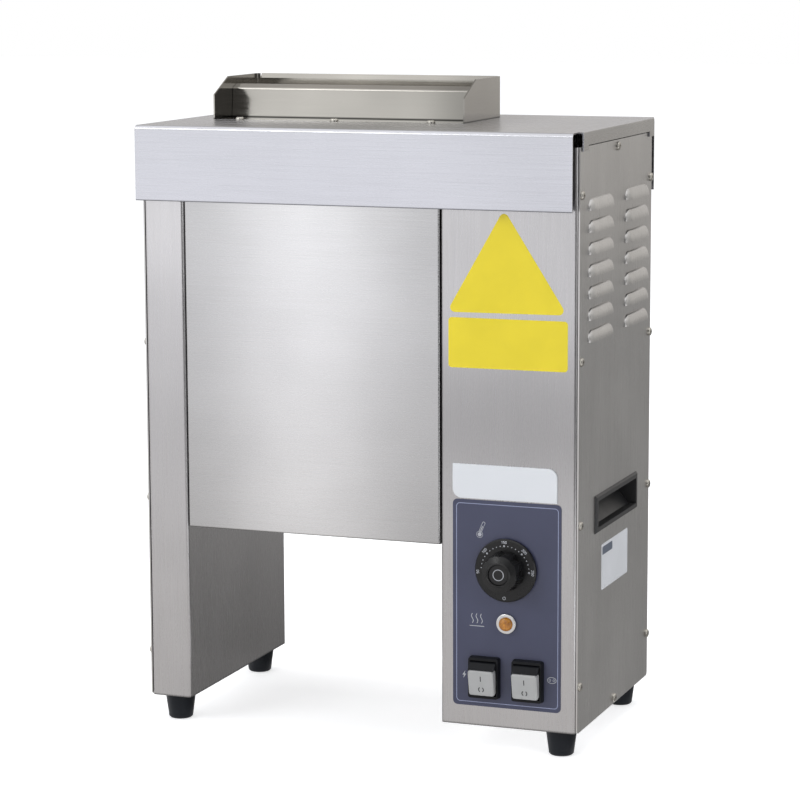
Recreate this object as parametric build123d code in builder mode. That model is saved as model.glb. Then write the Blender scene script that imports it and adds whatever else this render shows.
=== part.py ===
from build123d import *
import os
from math import acos, atan2, cos, degrees, hypot, pi, radians, sin, sqrt, tan

os.makedirs("parts", exist_ok=True)

# Vertical contact toaster. Millimetres, +Z up, the controls face -Y.
# The origin is on the bench, under the middle of the whole toaster.
# Buns drop into the hopper on top, are pressed down past a hot upright platen
# by two belts, and fall out between the leg and the column.

# Casing sizes
casing_width = 391.0
casing_depth = 214.0
casing_height = 500.0
leg_width = 38.0
column_width = 120.0
shield_lift = 153.0
sheet = 1.2
bend_radius = 3.2
shell_drop = 12.0
return_width = 14.0
wall_hem = 9.0
seat_gap = 0.3
running_gap = 0.05
overrun = 3.0
shield_side_gap = 1.0
shield_edge_round = 1.5
shield_return = 13.0
rear_cover_return = 4.5
panel_edge_gap = 0.8
base_lip = 12.0
top_rail_height = 11.0

# Feet
foot_height = 23.0
foot_top_radius = 13.5
foot_bottom_radius = 10.6
foot_edge_round = 1.2
foot_inset = 19.4
foot_stud_radius = 3.0
foot_stud_length = 6.0

# Top cover
front_skirt_stand = 11.0
rear_skirt_stand = 18.0
skirt_height = 64.0
skirt_setback = 3.0
cover_bend_radius = 4.0
lip_height = 11.0
tab_height = 15.5
tab_width = 14.0
tab_inset = 5.5
lip_edge_round = 0.6
crossbar_height = 26.0
crossbar_flange = 10.0
crossbar_bend_radius = 2.5

# Hopper and divider
feeder_left_inset = 25.5
feed_half_length = 48.0
feed_front_margin = 2.0
wing_height = 36.0
wing_front_height = 21.0
wing_chamfer_length = 31.0
hopper_bend_radius = 2.0
hopper_flange = 8.0
hopper_flange_setback = 9.0
back_lip_height = 4.0
ridge_height = 29.0
shoulder_height = 25.5
shoulder_half_width = 8.5
divider_bend_radius = 2.0
guide_flange = 10.0
guide_setback = 3.0
guide_drop = 28.0
guide_belt_offset = 2.0
guide_bend_radius = 2.0
feeder_screw_inset = 28.0
feeder_screw_edge = 4.5

# Conveyors and platen
side_plate = 2.0
side_plate_front_gap = 4.0
side_plate_rear_gap = 2.0
side_plate_rise = 12.0
spacer_length = 9.5
spacer_radius = 6.0
spacer_front_inset = 30.0
spacer_rear_inset = 20.0
spacer_low_rise = 77.0
spacer_high_drop = 100.0
platen_thickness = 28.0
platen_rise = 25.0
platen_top_drop = 30.0
bun_gap = 16.0
belt_thickness = 1.5
belt_end_gap = 5.0
belt_rear_gap = 4.2
roller_radius = 17.0
roller_end_gap = 3.0
drive_axis_drop = 54.0
idler_axis_rise = 37.0
shaft_radius = 5.0
shaft_end = 3.0
bush_radius = 9.0
bush_flange_radius = 12.0
bush_flange = 2.0
wall_hole_radius = 7.0
bed_thickness = 1.5
bed_return = 12.0
bed_roller_gap = 4.0
bed_bend_radius = 2.5
heater_radius = 4.0
heater_bore_gap = 0.15
heater_blind = 6.0
heater_reach = 12.0
heater_hole_radius = 6.0
heater_height_shares = (0.12, 0.46, 0.80)
heater_pin_radius = 1.2
heater_pin_length = 6.0
bolt_radius = 4.0
bolt_depth = 18.0
bolt_head_width = 13.0
bolt_head_height = 5.0
bolt_height_shares = (0.28, 0.64)
release_sheet = 0.5
release_sheet_end_gap = 1.5

# Gear train, chain and gearmotor
gear_teeth = 22
gear_width = 8.0
gear_wall_gap = 3.0
gear_backlash = 0.2
pressure_angle = 20.0
dedendum_share = 1.25
stud_flange_radius = 8.0
stud_flange = 2.0
stud_head_radius = 7.0
stud_head = 1.5
chain_pitch = 6.35
chain_roller_radius = 1.65
chain_half_height = 2.8
chain_plate = 0.9
sprocket_width = 2.8
sprocket_gear_gap = 4.0
sprocket_tip = 1.3
sprocket_teeth = 16
motor_sprocket_teeth = 12
tooth_root_share = 0.30
tooth_tip_share = 0.12
skipped_pitches = 2
motor_rise = 330.0
bracket_gap = 4.0
bracket_thickness = 2.0
bracket_half_width = 38.0
bracket_half_height = 34.0
bracket_bend_radius = 3.0
gearbox_half_width = 30.0
gearbox_length = 26.0
motor_radius = 27.0
motor_length = 48.0
motor_cap_length = 6.0
motor_cap_radius = 18.0
motor_edge_round = 3.0
motor_shaft_radius = 4.0
motor_shaft_seat = 10.0

# Fan in the column base
fan_size = 80.0
fan_depth = 25.0
fan_bore_radius = 37.5
fan_setback = 135.0
fan_corner_radius = 4.0
fan_hub_radius = 16.0
fan_hub_height = 16.0
fan_blade_reach = 35.0
fan_blade_thickness = 1.6
fan_blade_chord = 19.0
fan_blades = 7
fan_blade_angle = 35.0
fan_strut_width = 5.0
fan_strut_height = 4.0
fan_struts = 4
fan_post_radius = 3.0
fan_post_height = 14.0
fan_slots = 7
fan_slot_pitch = 10.0
fan_slot_width = 5.0
fan_slot_length = 64.0

# Side panel louvres
louvre_length = 67.0
louvre_height = 10.0
louvre_rise = 4.5
louvre_wall = 0.9
louvre_inset = 23.5
louvre_rear_inset = 17.0
louvre_top_drop = 65.0
louvre_pitch = 18.15
louvre_rows = 7
louvre_columns = 2

# Recessed handle in the side panel
handle_length = 124.0
handle_height = 32.5
handle_front_inset = 47.3
handle_lift = 161.0
handle_rim = 5.0
handle_rim_height = 2.0
handle_wall = 2.0
handle_depth = 24.0
handle_lip_depth = 5.0
handle_bevel = 1.6

# Screws
screw_head_radius = 3.7
screw_head_height = 2.4
screw_head_round = 1.6
screw_shank_radius = 2.0
screw_shank_length = 6.0
screw_hole_gap = 0.1
cross_length = 3.8
cross_width = 0.9
cross_depth = 1.1
screw_inset = 5.6
screw_rows = 4
screw_low_lift = 39.5
screw_pitch = 136.5
screw_edge_lift = 5.4

# Control panel on the column front
overlay_width = 95.0
overlay_height = 176.5
overlay_lift = 17.0
overlay_thickness = 0.5
overlay_corner = 4.0
plate_width = 91.5
plate_height = 29.0
plate_gap = 1.0
plate_thickness = 1.4
plate_edge_round = 0.6
plate_big_corner = 8.0
plate_small_corner = 1.5
plate_shift = 1.8
knob_lift = 135.8
knob_gap = 1.0
knob_height = 22.0
knob_skirt_radius = 26.7
knob_skirt_height = 3.2
knob_skirt_chamfer = 1.0
knob_grip_radius = 17.2
knob_grip_crown_radius = 15.4
knob_crown_drop = 3.0
knob_rim_radius = 10.4
knob_rim_drop = 0.8
knob_scallops = 8
knob_scallop_radius = 4.2
knob_scallop_offset = 18.9
knob_cap_radius = 8.8
knob_cap_height = 3.0
knob_cap_drop = 0.9
knob_fit = 0.05
spindle_radius = 3.0
spindle_grip = 12.0
thermostat_bush_radius = 5.0
thermostat_bush_out = 0.8
thermostat_size = 42.0
thermostat_depth = 24.0
thermostat_corner = 4.0
lamp_lift = 90.0
lamp_bezel_radius = 8.7
lamp_bezel_height = 2.4
lamp_bezel_round = 1.0
lamp_body_radius = 6.8
lamp_body_length = 20.0
lamp_bore_radius = 6.1
lamp_bore_depth = 9.0
lens_radius = 6.0
lens_rise = 3.4
hole_gap = 0.2
switch_lift = 42.5
switch_pitch = 38.2
bezel_width = 27.6
bezel_height = 36.0
bezel_depth = 5.5
bezel_draft = 8.0
bezel_corner = 2.5
pocket_width = 23.2
pocket_height = 30.0
pocket_depth = 16.0
switch_body_width = 25.0
switch_body_height = 32.6
switch_body_depth = 24.0
terminal_width = 6.3
terminal_thickness = 0.8
terminal_length = 8.0
terminal_share = 0.3
rocker_radius = 14.5
rocker_tilt = 11.0
rocker_pivot_out = 1.0
rocker_seat = 4.0
rocker_crest = 9.0
rocker_shoulder = 2.6
rocker_depth = 8.0
rocker_pin_radius = 1.6
rocker_pin_length = 0.5
rocker_cap_height = 22.6
rocker_cap_shift = 1.2
rocker_cap_top = 10.5
rocker_cap_corner = 2.2
rocker_cap_edge = 1.2
rocker_cap_side_gap = 0.2

# Cord gland on the column rear
gland_lift = 45.0
gland_radius = 9.0
gland_reach = 16.0
gland_inside = 10.0
gland_body_radius = 7.0
gland_edge_round = 2.5
gland_bore_radius = 4.0
gland_nut_width = 20.0
gland_nut_height = 5.0
terminal_block_lift = 78.0
terminal_block_width = 42.0
terminal_block_height = 20.0
terminal_block_depth = 14.0
terminal_ways = 3
terminal_way_pitch = 12.0
terminal_bore_radius = 2.2
terminal_bore_depth = 6.0
terminal_rib = 1.5

# Where the casing stands in the model
lip_out = seat_gap + sheet
left_reach = max(screw_head_height, lip_out)
right_reach = max(screw_head_height, lip_out, handle_rim_height, louvre_rise)
front_reach = max(front_skirt_stand, overlay_thickness + knob_gap + knob_height)
rear_reach = max(rear_skirt_stand, gland_reach)
left_x = -(casing_width + right_reach - left_reach) / 2
right_x = left_x + casing_width
front_y = -(casing_depth + rear_reach - front_reach) / 2
rear_y = front_y + casing_depth
floor_z = foot_height
top_z = floor_z + casing_height
leg_x = left_x + leg_width
column_x = right_x - column_width
shell_top = top_z - shell_drop
under_cover = top_z - sheet
shield_z = floor_z + shield_lift

# Where the working parts stand
chamber_left = left_x + feeder_left_inset
chamber_right = column_x - spacer_length - side_plate
chamber_middle = (chamber_left + chamber_right) / 2
belt_radius = roller_radius + seat_gap + belt_thickness
rear_roller_y = rear_y - sheet - belt_rear_gap - belt_radius
platen_y = rear_roller_y - belt_radius - bun_gap - platen_thickness / 2
front_roller_y = platen_y - platen_thickness / 2 - bun_gap - belt_radius
drive_z = top_z - drive_axis_drop
idler_z = shield_z + idler_axis_rise
crossbar_z = under_cover - crossbar_height
platen_low = shield_z + platen_rise
platen_top = top_z - platen_top_drop
feed_front = platen_y - feed_half_length
feed_back = platen_y + feed_half_length
opening_front = feed_front - feed_front_margin
opening_back = feed_back + seat_gap
guide_back = opening_back + guide_setback

# Where the controls stand on the flat part of the column front
panel_middle = column_x + (column_width - bend_radius) / 2
switch_x = {"power": panel_middle - switch_pitch / 2, "motor": panel_middle + switch_pitch / 2}
overlay_front = front_y - overlay_thickness

# Points of the screws round a side panel, as pairs of depth and height
screw_hole_radius = screw_shank_radius + screw_hole_gap
screw_heights = [floor_z + screw_low_lift + row * screw_pitch for row in range(screw_rows)]
edge_screws = [(y, z) for y in (front_y + screw_inset, rear_y - screw_inset) for z in screw_heights]
low_screw = (front_y + casing_depth / 2, floor_z + screw_edge_lift)
high_screw = (front_y + casing_depth / 2, shell_top - screw_edge_lift)
side_screws = edge_screws + [low_screw, high_screw]
leg_screws = edge_screws + [low_screw]


def block(x0, x1, y0, y1, z0, z1, mode=Mode.ADD):
    """A block between two corners."""
    with Locations(((x0 + x1) / 2, (y0 + y1) / 2, (z0 + z1) / 2)):
        Box(x1 - x0, y1 - y0, z1 - z0, mode=mode)


def x_bar(radius, x0, x1, y, z, mode=Mode.ADD):
    """A round bar along X from x0 to x1."""
    with BuildSketch(Plane.YZ.offset(x0)) as section:
        with Locations((y, z)):
            Circle(radius)
    extrude(section.sketch, amount=x1 - x0, mode=mode)


def y_bar(radius, y0, y1, x, z, mode=Mode.ADD):
    """A round bar along Y from y0 forward to y1, so y1 is the smaller."""
    with BuildSketch(Plane.XZ.offset(-y0)) as section:
        with Locations((x, z)):
            Circle(radius)
    extrude(section.sketch, amount=y0 - y1, mode=mode)


def folded_sheet(points, plane, length, thickness, radius, side):
    """A sheet bent along a line of points and as long as its extrusion."""
    with BuildSketch(plane) as section:
        with BuildLine():
            FilletPolyline(*points, radius=radius)
            offset(amount=thickness, side=side)
        make_face()
    extrude(section.sketch, amount=length)


def yz_prism(points, x0, x1, mode=Mode.ADD):
    """A polygon of depth and height points, extruded from x0 to x1."""
    with BuildSketch(Plane.YZ.offset(x0)) as section:
        with BuildLine():
            Polyline(*points, close=True)
        make_face()
    extrude(section.sketch, amount=x1 - x0, mode=mode)


# Pan-head screw, head upward, standing on its origin
with BuildPart() as pan_screw:
    Cylinder(screw_head_radius, screw_head_height, align=(Align.CENTER, Align.CENTER, Align.MIN))
    fillet(pan_screw.edges().sort_by(Axis.Z)[-1], radius=screw_head_round)
    Cylinder(screw_shank_radius, screw_shank_length, align=(Align.CENTER, Align.CENTER, Align.MAX))
    with Locations((0, 0, screw_head_height)):
        for turn in (0, 90):
            Box(cross_length, cross_width, 2 * cross_depth, rotation=(0, 0, turn), mode=Mode.SUBTRACT)

# Top cover: front skirt, top and rear skirt are one folded sheet
cover_front = front_y - front_skirt_stand
cover_back = rear_y + rear_skirt_stand
cover_left = left_x - lip_out
cover_right = right_x + lip_out
skirt_right = right_x - skirt_setback
tab_front = front_y + tab_inset
tab_back = rear_y + panel_edge_gap + seat_gap
with BuildPart() as top_cover:
    folded_sheet(
        [
            (cover_front, top_z - skirt_height),
            (cover_front, top_z),
            (cover_back, top_z),
            (cover_back, top_z - skirt_height),
        ],
        Plane.YZ.offset(cover_left),
        cover_right - cover_left,
        sheet,
        cover_bend_radius,
        Side.RIGHT,
    )
    # the open corners beside the side lip
    for y0, y1 in ((cover_front, tab_front), (tab_back, cover_back)):
        block(
            skirt_right, cover_right + overrun,
            y0 - (overrun if y0 == cover_front else 0), y1 + (overrun if y1 == cover_back else 0),
            top_z - skirt_height - overrun, top_z + overrun,
            mode=Mode.SUBTRACT,
        )
    # side lips with a longer tab at each end
    for x0, x1 in ((right_x + seat_gap, cover_right), (cover_left, left_x - seat_gap)):
        block(x0, x1, tab_front, tab_back, top_z - lip_height, top_z)
        block(x0, x1, tab_front, tab_front + tab_width, top_z - tab_height, top_z)
        block(x0, x1, tab_back - tab_width, tab_back, top_z - tab_height, top_z)
    long_edges = top_cover.edges().filter_by(Axis.Y).group_by(Axis.Z)[-1]
    fillet([long_edges.sort_by(Axis.X)[0], long_edges.sort_by(Axis.X)[-1]], radius=lip_edge_round)
    # feed opening
    block(
        chamber_left - seat_gap, chamber_right + seat_gap,
        opening_front, opening_back,
        top_z - sheet - overrun, top_z + overrun,
        mode=Mode.SUBTRACT,
    )
    feeder_screw_x = [chamber_left + feeder_screw_inset, chamber_middle, chamber_right - feeder_screw_inset]
    feeder_screw_y = (opening_front - feeder_screw_edge, guide_back + feeder_screw_edge)
    feeder_screw_spots = [(x, y) for x in feeder_screw_x for y in feeder_screw_y]
    with Locations([(x, y, top_z) for x, y in feeder_screw_spots]):
        Cylinder(screw_hole_radius, 2 * (sheet + overrun), mode=Mode.SUBTRACT)
top_cover.part.label = "top_cover"
export_step(top_cover.part, "parts/top_cover.step")

# Leg shell: front, inner and rear wall are one folded sheet with two returns
leg_open_x = left_x + sheet
with BuildPart() as leg_shell:
    folded_sheet(
        [
            (leg_open_x, front_y + return_width),
            (leg_open_x, front_y),
            (leg_x, front_y),
            (leg_x, rear_y),
            (leg_open_x, rear_y),
            (leg_open_x, rear_y - return_width),
        ],
        Plane.XY.offset(floor_z),
        shell_top - floor_z,
        sheet,
        bend_radius,
        Side.LEFT,
    )
    # above the discharge space the inner wall is open for the conveyors
    block(
        leg_x - 2 * sheet, leg_x + overrun,
        front_y + return_width, rear_y - bend_radius,
        shield_z + wall_hem, shell_top + overrun,
        mode=Mode.SUBTRACT,
    )
    # both corners are notched where the crossbars run in
    block(
        leg_x - bend_radius - seat_gap, leg_x + overrun,
        front_y - overrun, rear_y + overrun,
        crossbar_z - seat_gap, shell_top + overrun,
        mode=Mode.SUBTRACT,
    )
    for y, z in leg_screws:
        x_bar(screw_hole_radius, left_x - overrun, leg_open_x + 2 * sheet, y, z, Mode.SUBTRACT)
leg_shell.part.label = "leg_shell"
export_step(leg_shell.part, "parts/leg_shell.step")

# Column shell: the same fold turned round, with the control cut-outs
column_open_x = right_x - sheet
inner_wall_x = column_x + sheet
heater_points = [(platen_y, platen_low + share * (platen_top - platen_low)) for share in heater_height_shares]
stud_pitch = (rear_roller_y - front_roller_y) / 3
with BuildPart() as column_shell:
    folded_sheet(
        [
            (column_open_x, front_y + return_width),
            (column_open_x, front_y),
            (column_x, front_y),
            (column_x, rear_y),
            (column_open_x, rear_y),
            (column_open_x, rear_y - return_width),
        ],
        Plane.XY.offset(floor_z),
        shell_top - floor_z,
        sheet,
        bend_radius,
        Side.RIGHT,
    )
    for y, z in edge_screws:
        x_bar(screw_hole_radius, right_x - 3 * sheet, right_x + overrun, y, z, Mode.SUBTRACT)
    for y in (front_roller_y, rear_roller_y):
        x_bar(wall_hole_radius, column_x - overrun, inner_wall_x + overrun, y, drive_z, Mode.SUBTRACT)
    for y, z in heater_points:
        x_bar(heater_hole_radius, column_x - overrun, inner_wall_x + overrun, y, z, Mode.SUBTRACT)
    wall_front = front_y - overrun
    wall_back = front_y + sheet + overrun
    for radius, lift in ((thermostat_bush_radius, knob_lift), (lamp_body_radius, lamp_lift)):
        y_bar(radius + hole_gap, wall_back, wall_front, panel_middle, floor_z + lift, Mode.SUBTRACT)
    for x in switch_x.values():
        block(
            x - switch_body_width / 2 - hole_gap, x + switch_body_width / 2 + hole_gap,
            wall_front, wall_back,
            floor_z + switch_lift - switch_body_height / 2 - hole_gap,
            floor_z + switch_lift + switch_body_height / 2 + hole_gap,
            mode=Mode.SUBTRACT,
        )
    y_bar(gland_body_radius + hole_gap, rear_y + overrun, rear_y - sheet - overrun, panel_middle,
          floor_z + gland_lift, Mode.SUBTRACT)
column_shell.part.label = "column_shell"
export_step(column_shell.part, "parts/column_shell.step")


def base_plate(x0, x1, lip_x, lip_direction, foot_x):
    """A floor plate inside a shell, with a lip behind the side panel and holes for the feet."""
    y0 = front_y + sheet
    y1 = rear_y - sheet
    block(x0, x1, y0, y1, floor_z, floor_z + sheet)
    corner_posts = edges_of_last_block()
    fillet(corner_posts, radius=bend_radius)
    lip_y0 = front_y + return_width + seat_gap
    lip_y1 = rear_y - return_width - seat_gap
    lip_x1 = lip_x + lip_direction * sheet
    block(min(lip_x, lip_x1), max(lip_x, lip_x1), lip_y0, lip_y1, floor_z, floor_z + base_lip)
    for y in (front_y + foot_inset, rear_y - foot_inset):
        with Locations((foot_x, y, floor_z)):
            Cylinder(foot_stud_radius + hole_gap, 2 * (sheet + overrun), mode=Mode.SUBTRACT)
    y, z = low_screw
    x_bar(screw_hole_radius, min(lip_x, lip_x1) - overrun, max(lip_x, lip_x1) + overrun, y, z, Mode.SUBTRACT)


def edges_of_last_block():
    """The upright edges of the part being built."""
    return BuildPart._get_context().edges().filter_by(Axis.Z)


left_foot_x = left_x + foot_inset
right_foot_x = right_x - foot_inset
with BuildPart() as leg_base:
    base_plate(left_x + 2 * sheet, leg_x - sheet, left_x + sheet, 1, left_foot_x)
leg_base.part.label = "leg_base"
export_step(leg_base.part, "parts/leg_base.step")

fan_x = (inner_wall_x + column_open_x) / 2
fan_y = front_y + fan_setback
with BuildPart() as column_base:
    base_plate(inner_wall_x, right_x - 2 * sheet, right_x - sheet, -1, right_foot_x)
    with Locations((fan_x, fan_y, floor_z)):
        with GridLocations(fan_slot_pitch, 0, fan_slots, 1):
            Box(fan_slot_width, fan_slot_length, 2 * (sheet + overrun), mode=Mode.SUBTRACT)
column_base.part.label = "column_base"
export_step(column_base.part, "parts/column_base.step")


def outer_panel(x0, screws):
    """A flat side panel with rounded lower corners and screw holes."""
    y0 = front_y + panel_edge_gap
    y1 = rear_y - panel_edge_gap
    block(x0, x0 + sheet, y0, y1, floor_z, shell_top)
    panel_edges = BuildPart._get_context().edges().filter_by(Axis.X)
    fillet(panel_edges.group_by(Axis.Z)[0], radius=bend_radius)
    for y, z in screws:
        x_bar(screw_hole_radius, x0 - overrun, x0 + sheet + overrun, y, z, Mode.SUBTRACT)


with BuildPart() as leg_side_panel:
    outer_panel(left_x, leg_screws)
leg_side_panel.part.label = "leg_side_panel"
export_step(leg_side_panel.part, "parts/leg_side_panel.step")


def quarter_ellipse(plane, along, outward):
    """A quarter of an ellipse in the corner of a plane's first quadrant."""
    with BuildSketch(plane) as quarter:
        Ellipse(along, outward)
        Rectangle(along, outward, align=(Align.MIN, Align.MIN), mode=Mode.INTERSECT)
    return quarter.sketch


def louvre_form(height, rise, straight):
    """A pressed hood: straight in the middle, turned round at both ends, open along its lower edge."""
    with BuildPart() as form:
        extrude(quarter_ellipse(Plane.YZ.offset(-straight / 2), height, rise), amount=straight)
        for end in (-1, 1):
            section = quarter_ellipse(Plane.YZ.offset(end * straight / 2), height, rise)
            revolve(section, Axis((end * straight / 2, 0, 0), (0, 0, -end)), revolution_arc=90)
    return form.part


# Side panel: seven rows of louvres in two columns, and the handle's cut-out
handle_y0 = front_y + handle_front_inset
handle_y1 = handle_y0 + handle_length
handle_z0 = floor_z + handle_lift
handle_z1 = handle_z0 + handle_height
pocket_y0 = handle_y0 + handle_rim
pocket_y1 = handle_y1 - handle_rim
pocket_z0 = handle_z0 + handle_rim
pocket_z1 = handle_z1 - handle_rim
louvre_straight = louvre_length - 2 * louvre_height
louvre_column_pitch = (casing_depth - louvre_inset - louvre_rear_inset - louvre_length) / (louvre_columns - 1)
louvre_hood = louvre_form(louvre_height, louvre_rise, louvre_straight)
louvre_void = louvre_form(louvre_height - louvre_wall, louvre_rise - louvre_wall, louvre_straight)
louvre_places = [
    Location(
        Plane(
            origin=(
                right_x,
                front_y + louvre_inset + louvre_length / 2 + column * louvre_column_pitch,
                top_z - louvre_top_drop - row * louvre_pitch,
            ),
            x_dir=(0, 1, 0),
            z_dir=(1, 0, 0),
        )
    )
    for column in range(louvre_columns)
    for row in range(louvre_rows)
]
with BuildPart() as side_panel:
    outer_panel(right_x - sheet, side_screws)
    with Locations(louvre_places):
        add(louvre_hood)
    with Locations(louvre_places):
        add(louvre_void, mode=Mode.SUBTRACT)
    for place in louvre_places:
        y = place.position.Y
        z = place.position.Z
        block(
            right_x - sheet - overrun, right_x,
            y - louvre_straight / 2, y + louvre_straight / 2,
            z, z + louvre_height - louvre_wall,
            mode=Mode.SUBTRACT,
        )
    block(
        right_x - sheet - overrun, right_x + overrun,
        pocket_y0 - handle_wall - seat_gap, pocket_y1 + handle_wall + seat_gap,
        pocket_z0 - handle_wall - seat_gap, pocket_z1 + handle_wall + seat_gap,
        mode=Mode.SUBTRACT,
    )
side_panel.part.label = "side_panel"
export_step(side_panel.part, "parts/side_panel.step")

# Column top rail: a bar behind the side panel's upper edge, between the two returns
with BuildPart() as column_top_rail:
    block(
        right_x - 2 * sheet, right_x - sheet,
        front_y + return_width, rear_y - return_width,
        shell_top - top_rail_height, shell_top,
    )
    y, z = high_screw
    x_bar(screw_hole_radius, right_x - 3 * sheet, right_x, y, z, Mode.SUBTRACT)
column_top_rail.part.label = "column_top_rail"
export_step(column_top_rail.part, "parts/column_top_rail.step")

# Recessed handle: a bevelled rim and a pocket whose back slopes up and inward
pocket_outline = [
    (right_x + handle_rim_height + overrun, pocket_z0),
    (right_x - handle_lip_depth, pocket_z0),
    (right_x - handle_depth, pocket_z1),
    (right_x + handle_rim_height + overrun, pocket_z1),
]
shell_outline = [
    (right_x, pocket_z0 - handle_wall),
    (right_x - handle_lip_depth - handle_wall, pocket_z0 - handle_wall),
    (right_x - handle_depth - handle_wall, pocket_z1),
    (right_x - handle_depth - handle_wall, pocket_z1 + handle_wall),
    (right_x, pocket_z1 + handle_wall),
]


def handle_prism(outline, y0, y1, mode=Mode.ADD):
    """An outline of width and height points, extruded from y0 back to y1."""
    with BuildSketch(Plane.XZ.offset(-y1)) as section:
        with BuildLine():
            Polyline(*outline, close=True)
        make_face()
    extrude(section.sketch, amount=y1 - y0, mode=mode)


with BuildPart() as recessed_handle:
    block(right_x, right_x + handle_rim_height, handle_y0, handle_y1, handle_z0, handle_z1)
    rim_face = recessed_handle.faces().sort_by(Axis.X)[-1]
    chamfer(rim_face.edges(), length=handle_bevel)
    handle_prism(shell_outline, pocket_y0 - handle_wall, pocket_y1 + handle_wall)
    handle_prism(pocket_outline, pocket_y0, pocket_y1, Mode.SUBTRACT)
recessed_handle.part.label = "recessed_handle"
export_step(recessed_handle.part, "parts/recessed_handle.step")


def centre_cover(outer_y, inward, depth):
    """A shallow tray that closes the middle between leg and column."""
    x0 = leg_x + shield_side_gap
    x1 = column_x - shield_side_gap
    inner_y = outer_y + inward * depth
    y0 = min(outer_y, inner_y)
    y1 = max(outer_y, inner_y)
    block(x0, x1, y0, y1, shield_z, under_cover - seat_gap)
    tray = BuildPart._get_context()
    face = tray.faces().sort_by(Axis.Y)[0 if inward > 0 else -1]
    rims = face.edges().filter_by(Axis.Z) + face.edges().filter_by(Axis.X).sort_by(Axis.Z)[:1]
    fillet(rims, radius=shield_edge_round)
    cut_y0 = y0 + sheet if inward > 0 else y0 - overrun
    cut_y1 = y1 + overrun if inward > 0 else y1 - sheet
    block(x0 + sheet, x1 - sheet, cut_y0, cut_y1, shield_z + sheet, top_z, mode=Mode.SUBTRACT)
    block(x0 - overrun, x1 + overrun, cut_y0, cut_y1, crossbar_z - seat_gap, top_z, mode=Mode.SUBTRACT)


with BuildPart() as front_shield:
    centre_cover(front_y, 1, shield_return)
front_shield.part.label = "front_shield"
export_step(front_shield.part, "parts/front_shield.step")

with BuildPart() as rear_cover:
    centre_cover(rear_y, -1, rear_cover_return)
rear_cover.part.label = "rear_cover"
export_step(rear_cover.part, "parts/rear_cover.step")


def crossbar(web_y, inward):
    """A channel that ties the leg to the column under the top cover."""
    folded_sheet(
        [
            (web_y + inward * crossbar_flange, crossbar_z),
            (web_y, crossbar_z),
            (web_y, under_cover),
            (web_y + inward * crossbar_flange, under_cover),
        ],
        Plane.YZ.offset(left_x + sheet + bend_radius),
        column_x - left_x - sheet - bend_radius,
        sheet,
        crossbar_bend_radius,
        Side.RIGHT if inward > 0 else Side.LEFT,
    )


with BuildPart() as crossbars:
    crossbar(front_y + sheet, 1)
    crossbar(rear_y - sheet, -1)
crossbars.part.label = "crossbars"
export_step(crossbars.part, "parts/crossbars.step")

# Feed hopper: two chamfered wings and a back plate from one folded sheet
hopper_low = under_cover - sheet
hopper_top = top_z + wing_height
with BuildPart() as feeder_hopper:
    folded_sheet(
        [
            (chamber_left, feed_front),
            (chamber_left, feed_back),
            (chamber_right, feed_back),
            (chamber_right, feed_front),
        ],
        Plane.XY.offset(hopper_low),
        hopper_top - hopper_low,
        sheet,
        hopper_bend_radius,
        Side.RIGHT,
    )
    yz_prism(
        [
            (feed_front - overrun, hopper_top + overrun),
            (feed_front - overrun, top_z + wing_front_height),
            (feed_front, top_z + wing_front_height),
            (feed_front + wing_chamfer_length, hopper_top),
            (feed_front + wing_chamfer_length, hopper_top + overrun),
        ],
        chamber_left - overrun, chamber_right + overrun,
        Mode.SUBTRACT,
    )
    # the back plate's upper edge leans back
    lip_left = chamber_left + 2 * hopper_bend_radius
    lip_right = chamber_right - 2 * hopper_bend_radius
    lip_low = hopper_top - back_lip_height
    block(
        lip_left, lip_right,
        feed_back - sheet, feed_back,
        lip_low, hopper_top + overrun,
        mode=Mode.SUBTRACT,
    )
    yz_prism(
        [
            (feed_back - sheet, lip_low),
            (feed_back, lip_low),
            (feed_back + back_lip_height, hopper_top),
            (feed_back + back_lip_height - sheet, hopper_top),
        ],
        lip_left, lip_right,
    )
    # flanges under the top cover
    flange_y0 = feed_front + feed_front_margin
    flange_y1 = feed_back - hopper_flange_setback
    block(chamber_left - hopper_flange, chamber_left + sheet, flange_y0, flange_y1, hopper_low, under_cover)
    block(chamber_right - sheet, chamber_right + hopper_flange, flange_y0, flange_y1, hopper_low, under_cover)
feeder_hopper.part.label = "feeder_hopper"
export_step(feeder_hopper.part, "parts/feeder_hopper.step")

# Divider ridge between the two bun slots, standing on the platen
divider_left = chamber_left + sheet + seat_gap
divider_right = chamber_right - sheet - seat_gap
with BuildPart() as feeder_divider:
    folded_sheet(
        [
            (platen_y - platen_thickness / 2, platen_top - sheet),
            (platen_y - shoulder_half_width, top_z + shoulder_height),
            (platen_y, top_z + ridge_height),
            (platen_y + shoulder_half_width, top_z + shoulder_height),
            (platen_y + platen_thickness / 2, platen_top - sheet),
        ],
        Plane.YZ.offset(divider_left),
        divider_right - divider_left,
        sheet,
        divider_bend_radius,
        Side.RIGHT,
    )
    block(
        divider_left - overrun, divider_right + overrun,
        platen_y - platen_thickness, platen_y + platen_thickness,
        platen_top - 3 * sheet, platen_top,
        mode=Mode.SUBTRACT,
    )
feeder_divider.part.label = "feeder_divider"
export_step(feeder_divider.part, "parts/feeder_divider.step")

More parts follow.
